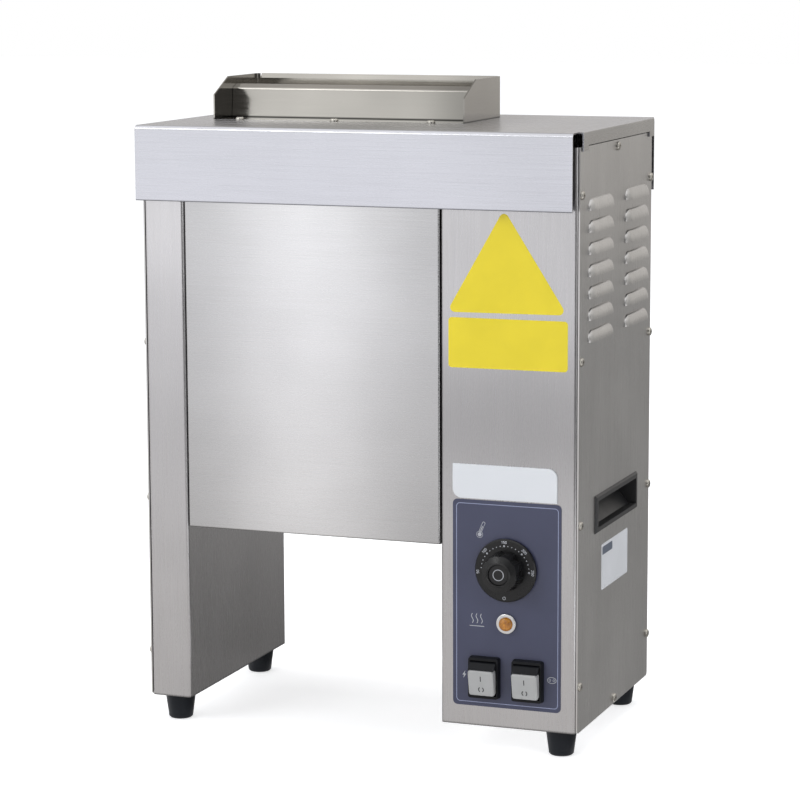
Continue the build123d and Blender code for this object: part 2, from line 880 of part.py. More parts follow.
# Feed guides lead the buns from the cover's opening onto the belts
guide_z = under_cover - guide_drop
guide_front_y = platen_y - platen_thickness / 2 - bun_gap - guide_belt_offset
guide_rear_y = platen_y + platen_thickness / 2 + bun_gap + guide_belt_offset
with BuildPart() as feed_guides:
    folded_sheet(
        [(opening_front - guide_flange, under_cover), (opening_front, under_cover), (guide_front_y, guide_z)],
        Plane.YZ.offset(divider_left),
        divider_right - divider_left,
        sheet,
        guide_bend_radius,
        Side.RIGHT,
    )
    folded_sheet(
        [(guide_back + guide_flange, under_cover), (guide_back, under_cover), (guide_rear_y, guide_z)],
        Plane.YZ.offset(divider_left),
        divider_right - divider_left,
        sheet,
        guide_bend_radius,
        Side.LEFT,
    )
    with Locations([(x, y, under_cover) for x, y in feeder_screw_spots]):
        Cylinder(screw_hole_radius, 2 * (sheet + overrun), mode=Mode.SUBTRACT)
feed_guides.part.label = "feed_guides"
export_step(feed_guides.part, "parts/feed_guides.step")

# Screws
with BuildPart() as feeder_screws:
    with Locations([(x, y, top_z) for x, y in feeder_screw_spots]):
        add(pan_screw.part)
feeder_screws.part.label = "feeder_screws"
export_step(feeder_screws.part, "parts/feeder_screws.step")

with BuildPart() as panel_screws:
    for y, z in side_screws:
        with Locations(Location(Plane(origin=(right_x, y, z), x_dir=(0, 1, 0), z_dir=(1, 0, 0)))):
            add(pan_screw.part)
    for y, z in leg_screws:
        with Locations(Location(Plane(origin=(left_x, y, z), x_dir=(0, -1, 0), z_dir=(-1, 0, 0)))):
            add(pan_screw.part)
panel_screws.part.label = "panel_screws"
export_step(panel_screws.part, "parts/panel_screws.step")


# Rubber feet, each with a stud up through the base plate
foot_outline = [
    (0, 0),
    (foot_bottom_radius - foot_edge_round, 0),
    (foot_bottom_radius, foot_edge_round),
    (foot_top_radius, floor_z),
    (foot_stud_radius, floor_z),
    (foot_stud_radius, floor_z + foot_stud_length),
    (0, floor_z + foot_stud_length),
]
foot_depths = (front_y + foot_inset, rear_y - foot_inset)
foot_spots = [(x, y) for x in (left_foot_x, right_foot_x) for y in foot_depths]
with BuildPart() as feet:
    for x, y in foot_spots:
        with BuildSketch(Plane(origin=(x, y, 0), x_dir=(1, 0, 0), z_dir=(0, -1, 0))) as foot_section:
            with BuildLine():
                Polyline(*foot_outline, close=True)
            make_face()
        revolve(foot_section.sketch, Axis((x, y, 0), (0, 0, 1)), revolution_arc=360)
feet.part.label = "feet"
export_step(feet.part, "parts/feet.step")


def front_plane(x, out, z):
    """A plane on the column front that looks forward, its origin out from the sheet."""
    return Plane(origin=(x, front_y - out, z), x_dir=(1, 0, 0), z_dir=(0, -1, 0))


# Control overlay with holes for the spindle, the lamp and the switches
overlay_middle_z = floor_z + overlay_lift + overlay_height / 2
with BuildPart() as control_overlay:
    with BuildSketch(front_plane(panel_middle, 0, overlay_middle_z)):
        RectangleRounded(overlay_width, overlay_height, overlay_corner)
        with Locations((0, floor_z + knob_lift - overlay_middle_z)):
            Circle(thermostat_bush_radius + hole_gap, mode=Mode.SUBTRACT)
        with Locations((0, floor_z + lamp_lift - overlay_middle_z)):
            Circle(lamp_body_radius + hole_gap, mode=Mode.SUBTRACT)
        switch_hole = (switch_body_width + 2 * hole_gap, switch_body_height + 2 * hole_gap)
        for x in switch_x.values():
            with Locations((x - panel_middle, floor_z + switch_lift - overlay_middle_z)):
                Rectangle(*switch_hole, mode=Mode.SUBTRACT)
    extrude(amount=overlay_thickness)
control_overlay.part.label = "control_overlay"
export_step(control_overlay.part, "parts/control_overlay.step")

# Blank name plate above the overlay: two large and two small corners
plate_middle_z = floor_z + overlay_lift + overlay_height + plate_gap + plate_height / 2
with BuildPart() as name_plate:
    with BuildSketch(front_plane(panel_middle - plate_shift, 0, plate_middle_z)) as plate_face:
        Rectangle(plate_width, plate_height)
        corners = plate_face.vertices()
        big = corners.sort_by(Axis((0, 0, 0), (plate_width, plate_height, 0)))
        fillet([big[0], big[-1]], radius=plate_big_corner)
        fillet([big[1], big[2]], radius=plate_small_corner)
    extrude(amount=plate_thickness)
    fillet(name_plate.faces().sort_by(Axis.Y)[0].edges(), radius=plate_edge_round)
name_plate.part.label = "name_plate"
export_step(name_plate.part, "parts/name_plate.step")

# Thermostat: body behind the panel with a threaded bush through it
knob_z = floor_z + knob_lift
knob_back = overlay_thickness + knob_gap
with BuildPart() as thermostat_body:
    with BuildSketch(front_plane(panel_middle, -sheet, knob_z)):
        RectangleRounded(thermostat_size, thermostat_size, thermostat_corner)
    extrude(amount=-thermostat_depth)
    y_bar(thermostat_bush_radius, front_y + sheet, overlay_front - thermostat_bush_out, panel_middle, knob_z)
    y_bar(spindle_radius + running_gap, front_y + sheet + thermostat_depth / 2, overlay_front - knob_gap,
          panel_middle, knob_z, Mode.SUBTRACT)
thermostat_body.part.label = "thermostat_body"
export_step(thermostat_body.part, "parts/thermostat_body.step")

spindle_inner_y = front_y + sheet + thermostat_depth / 2 - seat_gap
spindle_outer_y = front_y - knob_back - spindle_grip
with BuildPart() as thermostat_shaft:
    y_bar(spindle_radius, spindle_inner_y, spindle_outer_y, panel_middle, knob_z)
thermostat_shaft.part.label = "thermostat_shaft"
export_step(thermostat_shaft.part, "parts/thermostat_shaft.step")

# Thermostat knob: dial skirt, scalloped grip, rim round the cap
knob_plane = front_plane(panel_middle, knob_back, knob_z)
knob_axis = Axis(knob_plane.origin, knob_plane.z_dir)
knob_section_plane = Plane(origin=knob_plane.origin, x_dir=(1, 0, 0), z_dir=(0, 0, 1))
knob_outline = [
    (0, 0),
    (knob_skirt_radius, 0),
    (knob_skirt_radius, knob_skirt_height - knob_skirt_chamfer),
    (knob_skirt_radius - knob_skirt_chamfer, knob_skirt_height),
    (knob_grip_radius, knob_skirt_height),
    (knob_grip_crown_radius, knob_height - knob_crown_drop),
    (knob_rim_radius, knob_height - knob_rim_drop),
    (knob_rim_radius - knob_rim_drop, knob_height),
    (0, knob_height),
]
with BuildPart() as thermostat_knob:
    with BuildSketch(knob_section_plane):
        with BuildLine():
            Polyline(*[(radius, -height) for radius, height in knob_outline], close=True)
        make_face()
    revolve(axis=knob_axis, revolution_arc=360)
    with BuildSketch(knob_plane.offset(knob_skirt_height)):
        with PolarLocations(knob_scallop_offset, knob_scallops):
            Circle(knob_scallop_radius)
    extrude(amount=knob_height, mode=Mode.SUBTRACT)
    with BuildSketch(knob_plane.offset(knob_height)):
        Circle(knob_cap_radius + knob_fit)
    extrude(amount=-(knob_cap_height + knob_cap_drop), mode=Mode.SUBTRACT)
    with BuildSketch(knob_plane):
        Circle(spindle_radius + knob_fit)
    extrude(amount=spindle_grip + seat_gap, mode=Mode.SUBTRACT)
thermostat_knob.part.label = "thermostat_knob"
export_step(thermostat_knob.part, "parts/thermostat_knob.step")

with BuildPart() as knob_cap:
    with BuildSketch(knob_plane.offset(knob_height - knob_cap_drop - knob_cap_height)):
        Circle(knob_cap_radius)
    extrude(amount=knob_cap_height)
    fillet(knob_cap.faces().sort_by(Axis.Y)[0].edges(), radius=knob_rim_drop)
knob_cap.part.label = "knob_cap"
export_step(knob_cap.part, "parts/knob_cap.step")

# Pilot lamp: bezel with its body through the panel, and a domed lens
lamp_z = floor_z + lamp_lift
lamp_plane = front_plane(panel_middle, overlay_thickness, lamp_z)
with BuildPart() as pilot_bezel:
    with BuildSketch(lamp_plane):
        Circle(lamp_bezel_radius)
    extrude(amount=lamp_bezel_height)
    fillet(pilot_bezel.faces().sort_by(Axis.Y)[0].edges(), radius=lamp_bezel_round)
    with BuildSketch(lamp_plane):
        Circle(lamp_body_radius)
    extrude(amount=-lamp_body_length)
    with BuildSketch(lamp_plane.offset(lamp_bezel_height)):
        Circle(lamp_bore_radius)
    extrude(amount=-lamp_bore_depth, mode=Mode.SUBTRACT)
pilot_bezel.part.label = "pilot_bezel"
export_step(pilot_bezel.part, "parts/pilot_bezel.step")

with BuildPart() as pilot_lens:
    with BuildSketch(lamp_plane.offset(lamp_bezel_height - lamp_bore_depth)):
        Circle(lens_radius)
    extrude(amount=lamp_bore_depth + lens_rise)
    fillet(pilot_lens.faces().sort_by(Axis.Y)[0].edges(), radius=lens_rise)
pilot_lens.part.label = "pilot_lens"
export_step(pilot_lens.part, "parts/pilot_lens.step")


# Rocker switches: housing with bezel, a rocker on two side pins, a raised cap on the rocker
switch_z = floor_z + switch_lift
pivot_y = overlay_front - rocker_pivot_out
rocker_half_width = pocket_width / 2 - rocker_cap_side_gap


def switch_housing(x):
    """The housing of a rocker switch, its pocket open to the front."""
    with BuildSketch(front_plane(x, overlay_thickness, switch_z)) as bezel_face:
        RectangleRounded(bezel_width, bezel_height, bezel_corner)
    extrude(bezel_face.sketch, amount=bezel_depth, taper=bezel_draft)
    block(
        x - switch_body_width / 2, x + switch_body_width / 2,
        overlay_front, front_y + switch_body_depth,
        switch_z - switch_body_height / 2, switch_z + switch_body_height / 2,
    )
    for share in (-terminal_share, 0, terminal_share):
        z = switch_z + share * switch_body_height
        block(
            x - terminal_width / 2, x + terminal_width / 2,
            front_y + switch_body_depth, front_y + switch_body_depth + terminal_length,
            z - terminal_thickness / 2, z + terminal_thickness / 2,
        )
    block(
        x - pocket_width / 2, x + pocket_width / 2,
        overlay_front - bezel_depth - overrun, front_y + pocket_depth,
        switch_z - pocket_height / 2, switch_z + pocket_height / 2,
        mode=Mode.SUBTRACT,
    )
    pin_reach = rocker_half_width + rocker_pin_length + seat_gap
    x_bar(rocker_pin_radius + running_gap, x - pin_reach, x + pin_reach, pivot_y, switch_z, Mode.SUBTRACT)


def rocker_plane(x):
    """A plane across a rocker, turned to its off position: first axis up, second axis outward."""
    tilt = radians(rocker_tilt)
    return Plane(origin=(x, pivot_y, switch_z), x_dir=(0, -sin(tilt), cos(tilt)), z_dir=(1, 0, 0))


cap_low = -rocker_cap_shift - rocker_cap_height / 2
cap_high = -rocker_cap_shift + rocker_cap_height / 2


def rocker(x):
    """The black rocker: round ends about its pins, flat seat for the cap, a wedge above the cap."""
    plane = rocker_plane(x).offset(-rocker_half_width)
    with BuildSketch(plane) as section:
        Circle(rocker_radius)
        with BuildLine():
            Polyline(
                (-rocker_radius, -rocker_depth),
                (-rocker_radius, rocker_shoulder),
                (cap_low - seat_gap, rocker_seat),
                (cap_high, rocker_seat),
                (cap_high, rocker_crest),
                (rocker_radius, rocker_shoulder),
                (rocker_radius, -rocker_depth),
                close=True,
            )
        make_face(mode=Mode.INTERSECT)
    extrude(section.sketch, amount=2 * rocker_half_width)
    pin_reach = rocker_half_width + rocker_pin_length
    x_bar(rocker_pin_radius, x - pin_reach, x + pin_reach, pivot_y, switch_z)


def rocker_cap(x):
    """The raised cap that carries the on and off marks."""
    seat_plane = Plane(origin=rocker_plane(x).origin, x_dir=(1, 0, 0), z_dir=rocker_plane(x).y_dir)
    width = 2 * (rocker_half_width - rocker_cap_side_gap)
    height = rocker_cap_height - seat_gap
    with BuildSketch(seat_plane.offset(rocker_seat)) as cap_face:
        with Locations((0, -rocker_cap_shift - seat_gap / 2)):
            RectangleRounded(width, height, rocker_cap_corner)
    extrude(cap_face.sketch, amount=rocker_cap_top - rocker_seat)
    top_face = BuildPart._get_context().faces().sort_by(Axis((0, 0, 0), seat_plane.z_dir))[-1]
    fillet(top_face.edges(), radius=rocker_cap_edge)


with BuildPart() as power_switch_housing:
    switch_housing(switch_x["power"])
power_switch_housing.part.label = "power_switch_housing"
export_step(power_switch_housing.part, "parts/power_switch_housing.step")

with BuildPart() as power_rocker:
    rocker(switch_x["power"])
power_rocker.part.label = "power_rocker"
export_step(power_rocker.part, "parts/power_rocker.step")

with BuildPart() as power_rocker_cap:
    rocker_cap(switch_x["power"])
power_rocker_cap.part.label = "power_rocker_cap"
export_step(power_rocker_cap.part, "parts/power_rocker_cap.step")

with BuildPart() as motor_switch_housing:
    switch_housing(switch_x["motor"])
motor_switch_housing.part.label = "motor_switch_housing"
export_step(motor_switch_housing.part, "parts/motor_switch_housing.step")

with BuildPart() as motor_rocker:
    rocker(switch_x["motor"])
motor_rocker.part.label = "motor_rocker"
export_step(motor_rocker.part, "parts/motor_rocker.step")

with BuildPart() as motor_rocker_cap:
    rocker_cap(switch_x["motor"])
motor_rocker_cap.part.label = "motor_rocker_cap"
export_step(motor_rocker_cap.part, "parts/motor_rocker_cap.step")

# Side plates that carry rollers and platen between them
plate_y0 = front_y + sheet + side_plate_front_gap
plate_y1 = rear_y - sheet - side_plate_rear_gap
plate_z0 = shield_z + side_plate_rise
bolt_points = [(platen_y, platen_low + share * (platen_top - platen_low)) for share in bolt_height_shares]
roller_points = [(y, z) for y in (front_roller_y, rear_roller_y) for z in (drive_z, idler_z)]
spacer_points = [
    (y, z)
    for y in (front_y + spacer_front_inset, rear_y - spacer_rear_inset)
    for z in (shield_z + spacer_low_rise, top_z - spacer_high_drop)
]


def conveyor_side_plate(x0, x1, with_heaters):
    """A side plate between x0 and x1 with its bush, bolt and heater holes."""
    block(x0, x1, plate_y0, plate_y1, plate_z0, crossbar_z)
    for y, z in roller_points:
        x_bar(bush_radius + running_gap, x0 - overrun, x1 + overrun, y, z, Mode.SUBTRACT)
    for y, z in bolt_points:
        x_bar(bolt_radius + running_gap, x0 - overrun, x1 + overrun, y, z, Mode.SUBTRACT)
    if with_heaters:
        for y, z in heater_points:
            x_bar(heater_hole_radius, x0 - overrun, x1 + overrun, y, z, Mode.SUBTRACT)


with BuildPart() as left_side_plate:
    conveyor_side_plate(chamber_left - side_plate, chamber_left, False)
left_side_plate.part.label = "left_side_plate"
export_step(left_side_plate.part, "parts/left_side_plate.step")

with BuildPart() as right_side_plate:
    conveyor_side_plate(chamber_right, chamber_right + side_plate, True)
right_side_plate.part.label = "right_side_plate"
export_step(right_side_plate.part, "parts/right_side_plate.step")

with BuildPart() as side_spacers:
    for y, z in spacer_points:
        x_bar(spacer_radius, chamber_right + side_plate, column_x, y, z)
side_spacers.part.label = "side_spacers"
export_step(side_spacers.part, "parts/side_spacers.step")

# Platen with its heaters, bolts and release sheets
platen_front = platen_y - platen_thickness / 2
platen_back = platen_y + platen_thickness / 2
with BuildPart() as platen:
    block(chamber_left, chamber_right, platen_front, platen_back, platen_low, platen_top)
    for y, z in heater_points:
        x_bar(heater_radius + heater_bore_gap, chamber_left + heater_blind, chamber_right + overrun, y, z,
              Mode.SUBTRACT)
    for y, z in bolt_points:
        for x0, x1 in ((chamber_left - overrun, chamber_left + bolt_depth + seat_gap),
                       (chamber_right - bolt_depth - seat_gap, chamber_right + overrun)):
            x_bar(bolt_radius + running_gap, x0, x1, y, z, Mode.SUBTRACT)
platen.part.label = "platen"
export_step(platen.part, "parts/platen.step")

heater_end = inner_wall_x + heater_reach
with BuildPart() as platen_heaters:
    for y, z in heater_points:
        x_bar(heater_radius, chamber_left + heater_blind + seat_gap, heater_end, y, z)
        x_bar(heater_pin_radius, heater_end, heater_end + heater_pin_length, y, z)
platen_heaters.part.label = "platen_heaters"
export_step(platen_heaters.part, "parts/platen_heaters.step")

with BuildPart() as platen_bolts:
    for side in (-1, 1):
        face_x = chamber_left - side_plate if side < 0 else chamber_right + side_plate
        for y, z in bolt_points:
            tip_x = face_x - side * (side_plate + bolt_depth)
            x_bar(bolt_radius, min(face_x, tip_x), max(face_x, tip_x), y, z)
            with BuildSketch(Plane.YZ.offset(face_x)) as head:
                with Locations((y, z)):
                    RegularPolygon(bolt_head_width / 2, 6, major_radius=False)
            extrude(head.sketch, amount=side * bolt_head_height)
platen_bolts.part.label = "platen_bolts"
export_step(platen_bolts.part, "parts/platen_bolts.step")

with BuildPart() as release_sheets:
    x0 = chamber_left + release_sheet_end_gap
    x1 = chamber_right - release_sheet_end_gap
    block(x0, x1, platen_front - release_sheet, platen_front, platen_low, platen_top)
    block(x0, x1, platen_back, platen_back + release_sheet, platen_low, platen_top)
release_sheets.part.label = "release_sheets"
export_step(release_sheets.part, "parts/release_sheets.step")


def belt_bed(run_y, inward):
    """A folded plate just behind a belt's working run, its returns on the side plates."""
    z0 = idler_z + roller_radius + bed_roller_gap
    z1 = drive_z - roller_radius - bed_roller_gap
    folded_sheet(
        [
            (chamber_left, run_y + inward * bed_return),
            (chamber_left, run_y),
            (chamber_right, run_y),
            (chamber_right, run_y + inward * bed_return),
        ],
        Plane.XY.offset(z0),
        z1 - z0,
        bed_thickness,
        bed_bend_radius,
        Side.RIGHT if inward < 0 else Side.LEFT,
    )


with BuildPart() as belt_beds:
    belt_bed(front_roller_y + roller_radius, -1)
    belt_bed(rear_roller_y - roller_radius, 1)
belt_beds.part.label = "belt_beds"
export_step(belt_beds.part, "parts/belt_beds.step")

# Rollers, each one piece with its shaft
roller_x0 = chamber_left + roller_end_gap
roller_x1 = chamber_right - roller_end_gap
shaft_left = chamber_left - side_plate - bush_flange - shaft_end
idler_right = chamber_right + side_plate + bush_flange + shaft_end
gear_x0 = inner_wall_x + gear_wall_gap
gear_x1 = gear_x0 + gear_width
sprocket_x0 = gear_x1 + sprocket_gear_gap
sprocket_x1 = sprocket_x0 + sprocket_width


def roller(y, z, shaft_right):
    """A roller with its shaft running out through both side plates."""
    x_bar(roller_radius, roller_x0, roller_x1, y, z)
    x_bar(shaft_radius, shaft_left, shaft_right, y, z)


with BuildPart() as front_drive_roller:
    roller(front_roller_y, drive_z, sprocket_x1 + shaft_end)
front_drive_roller.part.label = "front_drive_roller"
export_step(front_drive_roller.part, "parts/front_drive_roller.step")

with BuildPart() as rear_drive_roller:
    roller(rear_roller_y, drive_z, gear_x1 + shaft_end)
rear_drive_roller.part.label = "rear_drive_roller"
export_step(rear_drive_roller.part, "parts/rear_drive_roller.step")

with BuildPart() as front_idler_roller:
    roller(front_roller_y, idler_z, idler_right)
front_idler_roller.part.label = "front_idler_roller"
export_step(front_idler_roller.part, "parts/front_idler_roller.step")

with BuildPart() as rear_idler_roller:
    roller(rear_roller_y, idler_z, idler_right)
rear_idler_roller.part.label = "rear_idler_roller"
export_step(rear_idler_roller.part, "parts/rear_idler_roller.step")


def belt(y):
    """A belt looped round a drive roller above and an idler below."""
    with BuildSketch(Plane.YZ.offset(chamber_left + belt_end_gap)) as loop:
        with Locations((y, (drive_z + idler_z) / 2)):
            SlotCenterToCenter(drive_z - idler_z, 2 * belt_radius, rotation=90)
            SlotCenterToCenter(drive_z - idler_z, 2 * (belt_radius - belt_thickness), rotation=90,
                               mode=Mode.SUBTRACT)
    extrude(loop.sketch, amount=chamber_right - chamber_left - 2 * belt_end_gap)


with BuildPart() as front_belt:
    belt(front_roller_y)
front_belt.part.label = "front_belt"
export_step(front_belt.part, "parts/front_belt.step")

with BuildPart() as rear_belt:
    belt(rear_roller_y)
rear_belt.part.label = "rear_belt"
export_step(rear_belt.part, "parts/rear_belt.step")

with BuildPart() as shaft_bushes:
    for y, z in roller_points:
        x_bar(bush_radius, chamber_left - side_plate, chamber_left, y, z)
        x_bar(bush_flange_radius, chamber_left - side_plate - bush_flange, chamber_left - side_plate, y, z)
        x_bar(bush_radius, chamber_right, chamber_right + side_plate, y, z)
        x_bar(bush_flange_radius, chamber_right + side_plate, chamber_right + side_plate + bush_flange, y, z)
    for y, z in roller_points:
        x_bar(shaft_radius + running_gap, shaft_left, idler_right, y, z, Mode.SUBTRACT)
shaft_bushes.part.label = "shaft_bushes"
export_step(shaft_bushes.part, "parts/shaft_bushes.step")


def toothed_wheel(count, flank, turn, x0, x1, y, z):
    """A wheel whose tooth flank is a list of radius and half angle from root to tip."""
    points = []
    for tooth in range(count):
        middle = turn + 2 * pi * tooth / count
        for radius, half_angle in flank:
            points.append((y + radius * cos(middle - half_angle), z + radius * sin(middle - half_angle)))
        for radius, half_angle in reversed(flank):
            points.append((y + radius * cos(middle + half_angle), z + radius * sin(middle + half_angle)))
    yz_prism(points, x0, x1)


# Four equal gears in line turn the rear drive roller against the front one
gear_pitch_radius = stud_pitch / 2
gear_module = 2 * gear_pitch_radius / gear_teeth
gear_base_radius = gear_pitch_radius * cos(radians(pressure_angle))
gear_root_radius = gear_pitch_radius - dedendum_share * gear_module
gear_tip_radius = gear_pitch_radius + gear_module
pitch_half_angle = pi / (2 * gear_teeth) - gear_backlash / (4 * gear_pitch_radius)


def involute(angle):
    """The involute function of an angle in radians."""
    return tan(angle) - angle


def tooth_half_angle(radius):
    """Half the angle that a gear tooth covers at a radius."""
    slope = acos(min(1, gear_base_radius / radius))
    return pitch_half_angle + involute(radians(pressure_angle)) - involute(slope)


flank_radii = [
    gear_root_radius,
    gear_base_radius,
    gear_pitch_radius,
    (gear_pitch_radius + gear_tip_radius) / 2,
    gear_tip_radius,
]
gear_flank = [(radius, tooth_half_angle(radius)) for radius in flank_radii]
half_tooth = pi / gear_teeth


def sprocket_flank(count):
    """The tooth flank of a chain sprocket with a number of teeth."""
    pitch_radius = chain_pitch / (2 * sin(pi / count))
    return [
        (pitch_radius - chain_roller_radius, tooth_root_share * 2 * pi / count),
        (pitch_radius + sprocket_tip, tooth_tip_share * 2 * pi / count),
    ]


with BuildPart() as front_drive_gear:
    toothed_wheel(gear_teeth, gear_flank, 0, gear_x0, gear_x1, front_roller_y, drive_z)
    x_bar(stud_flange_radius, gear_x1, sprocket_x0, front_roller_y, drive_z)
    toothed_wheel(sprocket_teeth, sprocket_flank(sprocket_teeth), 0, sprocket_x0, sprocket_x1,
                  front_roller_y, drive_z)
    x_bar(shaft_radius + running_gap, gear_x0 - overrun, sprocket_x1 + overrun, front_roller_y, drive_z,
          Mode.SUBTRACT)
front_drive_gear.part.label = "front_drive_gear"
export_step(front_drive_gear.part, "parts/front_drive_gear.step")

with BuildPart() as rear_drive_gear:
    toothed_wheel(gear_teeth, gear_flank, half_tooth, gear_x0, gear_x1, rear_roller_y, drive_z)
    x_bar(shaft_radius + running_gap, gear_x0 - overrun, gear_x1 + overrun, rear_roller_y, drive_z,
          Mode.SUBTRACT)
rear_drive_gear.part.label = "rear_drive_gear"
export_step(rear_drive_gear.part, "parts/rear_drive_gear.step")

middle_gear_y = (front_roller_y + stud_pitch, front_roller_y + 2 * stud_pitch)
with BuildPart() as front_middle_gear:
    toothed_wheel(gear_teeth, gear_flank, half_tooth, gear_x0, gear_x1, middle_gear_y[0], drive_z)
    x_bar(shaft_radius + running_gap, gear_x0 - overrun, gear_x1 + overrun, middle_gear_y[0], drive_z,
          Mode.SUBTRACT)
front_middle_gear.part.label = "front_middle_gear"
export_step(front_middle_gear.part, "parts/front_middle_gear.step")

with BuildPart() as rear_middle_gear:
    toothed_wheel(gear_teeth, gear_flank, 0, gear_x0, gear_x1, middle_gear_y[1], drive_z)
    x_bar(shaft_radius + running_gap, gear_x0 - overrun, gear_x1 + overrun, middle_gear_y[1], drive_z,
          Mode.SUBTRACT)
rear_middle_gear.part.label = "rear_middle_gear"
export_step(rear_middle_gear.part, "parts/rear_middle_gear.step")

with BuildPart() as gear_studs:
    for y in middle_gear_y:
        x_bar(stud_flange_radius, inner_wall_x, inner_wall_x + stud_flange, y, drive_z)
        x_bar(shaft_radius, inner_wall_x, gear_x1 + seat_gap + stud_head, y, drive_z)
        x_bar(stud_head_radius, gear_x1 + seat_gap, gear_x1 + seat_gap + stud_head, y, drive_z)
gear_studs.part.label = "gear_studs"
export_step(gear_studs.part, "parts/gear_studs.step")

# Gearmotor on its bracket, below the front drive roller
motor_y = front_roller_y
motor_z = floor_z + motor_rise
bracket_x = sprocket_x1 + shaft_end + bracket_gap
gearbox_x0 = bracket_x + bracket_thickness
gearbox_x1 = gearbox_x0 + gearbox_length
with BuildPart() as motor_bracket:
    folded_sheet(
        [
            (inner_wall_x, motor_y - bracket_half_width),
            (gearbox_x0, motor_y - bracket_half_width),
            (gearbox_x0, motor_y + bracket_half_width),
            (inner_wall_x, motor_y + bracket_half_width),
        ],
        Plane.XY.offset(motor_z - bracket_half_height),
        2 * bracket_half_height,
        bracket_thickness,
        bracket_bend_radius,
        Side.LEFT,
    )
    x_bar(motor_shaft_radius + hole_gap, bracket_x - overrun, gearbox_x0 + overrun, motor_y, motor_z,
          Mode.SUBTRACT)
motor_bracket.part.label = "motor_bracket"
export_step(motor_bracket.part, "parts/motor_bracket.step")

with BuildPart() as gearmotor:
    block(
        gearbox_x0, gearbox_x1,
        motor_y - gearbox_half_width, motor_y + gearbox_half_width,
        motor_z - gearbox_half_width, motor_z + gearbox_half_width,
    )
    fillet(gearmotor.edges().filter_by(Axis.X), radius=motor_edge_round)
    x_bar(motor_radius, gearbox_x1, gearbox_x1 + motor_length, motor_y, motor_z)
    fillet(gearmotor.faces().sort_by(Axis.X)[-1].edges(), radius=motor_edge_round)
    motor_x1 = gearbox_x1 + motor_length
    x_bar(motor_cap_radius, motor_x1, motor_x1 + motor_cap_length, motor_y, motor_z)
    x_bar(motor_shaft_radius + running_gap, gearbox_x0, gearbox_x0 + motor_shaft_seat, motor_y, motor_z,
          Mode.SUBTRACT)
gearmotor.part.label = "gearmotor"
export_step(gearmotor.part, "parts/gearmotor.step")

with BuildPart() as motor_sprocket:
    toothed_wheel(motor_sprocket_teeth, sprocket_flank(motor_sprocket_teeth), 0, sprocket_x0, sprocket_x1,
                  motor_y, motor_z)
    motor_shaft_x1 = gearbox_x0 + motor_shaft_seat - seat_gap
    x_bar(motor_shaft_radius, sprocket_x0 - shaft_end, motor_shaft_x1, motor_y, motor_z)
motor_sprocket.part.label = "motor_sprocket"
export_step(motor_sprocket.part, "parts/motor_sprocket.step")


# Drive chain: two plate loops beside the sprockets, tied by the rollers of the straight runs.
# The rollers that would lie between sprocket teeth are left out so that the teeth turn freely.
upper_pitch_radius = chain_pitch / (2 * sin(pi / sprocket_teeth))
lower_pitch_radius = chain_pitch / (2 * sin(pi / motor_sprocket_teeth))
chain_centres = ((front_roller_y, drive_z), (motor_y, motor_z))
chain_span = hypot(motor_y - front_roller_y, motor_z - drive_z)
chain_heading = atan2(motor_z - drive_z, motor_y - front_roller_y)
chain_spread = acos((upper_pitch_radius - lower_pitch_radius) / chain_span)


def tangent_points(side, shift):
    """Where a run leaves the upper and the lower sprocket, shift outside the pitch line."""
    angle = chain_heading + side * chain_spread
    radii = (upper_pitch_radius + shift, lower_pitch_radius + shift)
    ends = zip(chain_centres, radii)
    return [(y + radius * cos(angle), z + radius * sin(angle)) for (y, z), radius in ends]


def chain_outline(shift, mode):
    """The area inside a line that runs round both sprockets, shift outside the pitch line."""
    for (y, z), radius in zip(chain_centres, (upper_pitch_radius, lower_pitch_radius)):
        with Locations((y, z)):
            Circle(radius + shift, mode=mode)
    upper_left, lower_left = tangent_points(1, shift)
    upper_right, lower_right = tangent_points(-1, shift)
    Polygon(upper_left, upper_right, lower_right, lower_left, align=None, mode=mode)


chain_inner_x0 = sprocket_x0 - seat_gap
chain_inner_x1 = sprocket_x1 + seat_gap
with BuildPart() as drive_chain:
    for x0 in (chain_inner_x0 - chain_plate, chain_inner_x1):
        with BuildSketch(Plane.YZ.offset(x0)) as loop:
            chain_outline(chain_half_height, Mode.ADD)
            chain_outline(-chain_half_height, Mode.SUBTRACT)
        extrude(loop.sketch, amount=chain_plate)
    run_length = sqrt(chain_span ** 2 - (upper_pitch_radius - lower_pitch_radius) ** 2)
    roller_count = int(run_length / chain_pitch) - 2 * skipped_pitches + 1
    first_step = (run_length - (roller_count - 1) * chain_pitch) / 2
    for side in (1, -1):
        (y0, z0), (y1, z1) = tangent_points(side, 0)
        for step in range(roller_count):
            share = (first_step + step * chain_pitch) / run_length
            x_bar(chain_roller_radius, chain_inner_x0, chain_inner_x1,
                  y0 + share * (y1 - y0), z0 + share * (z1 - z0))
drive_chain.part.label = "drive_chain"
export_step(drive_chain.part, "parts/drive_chain.step")

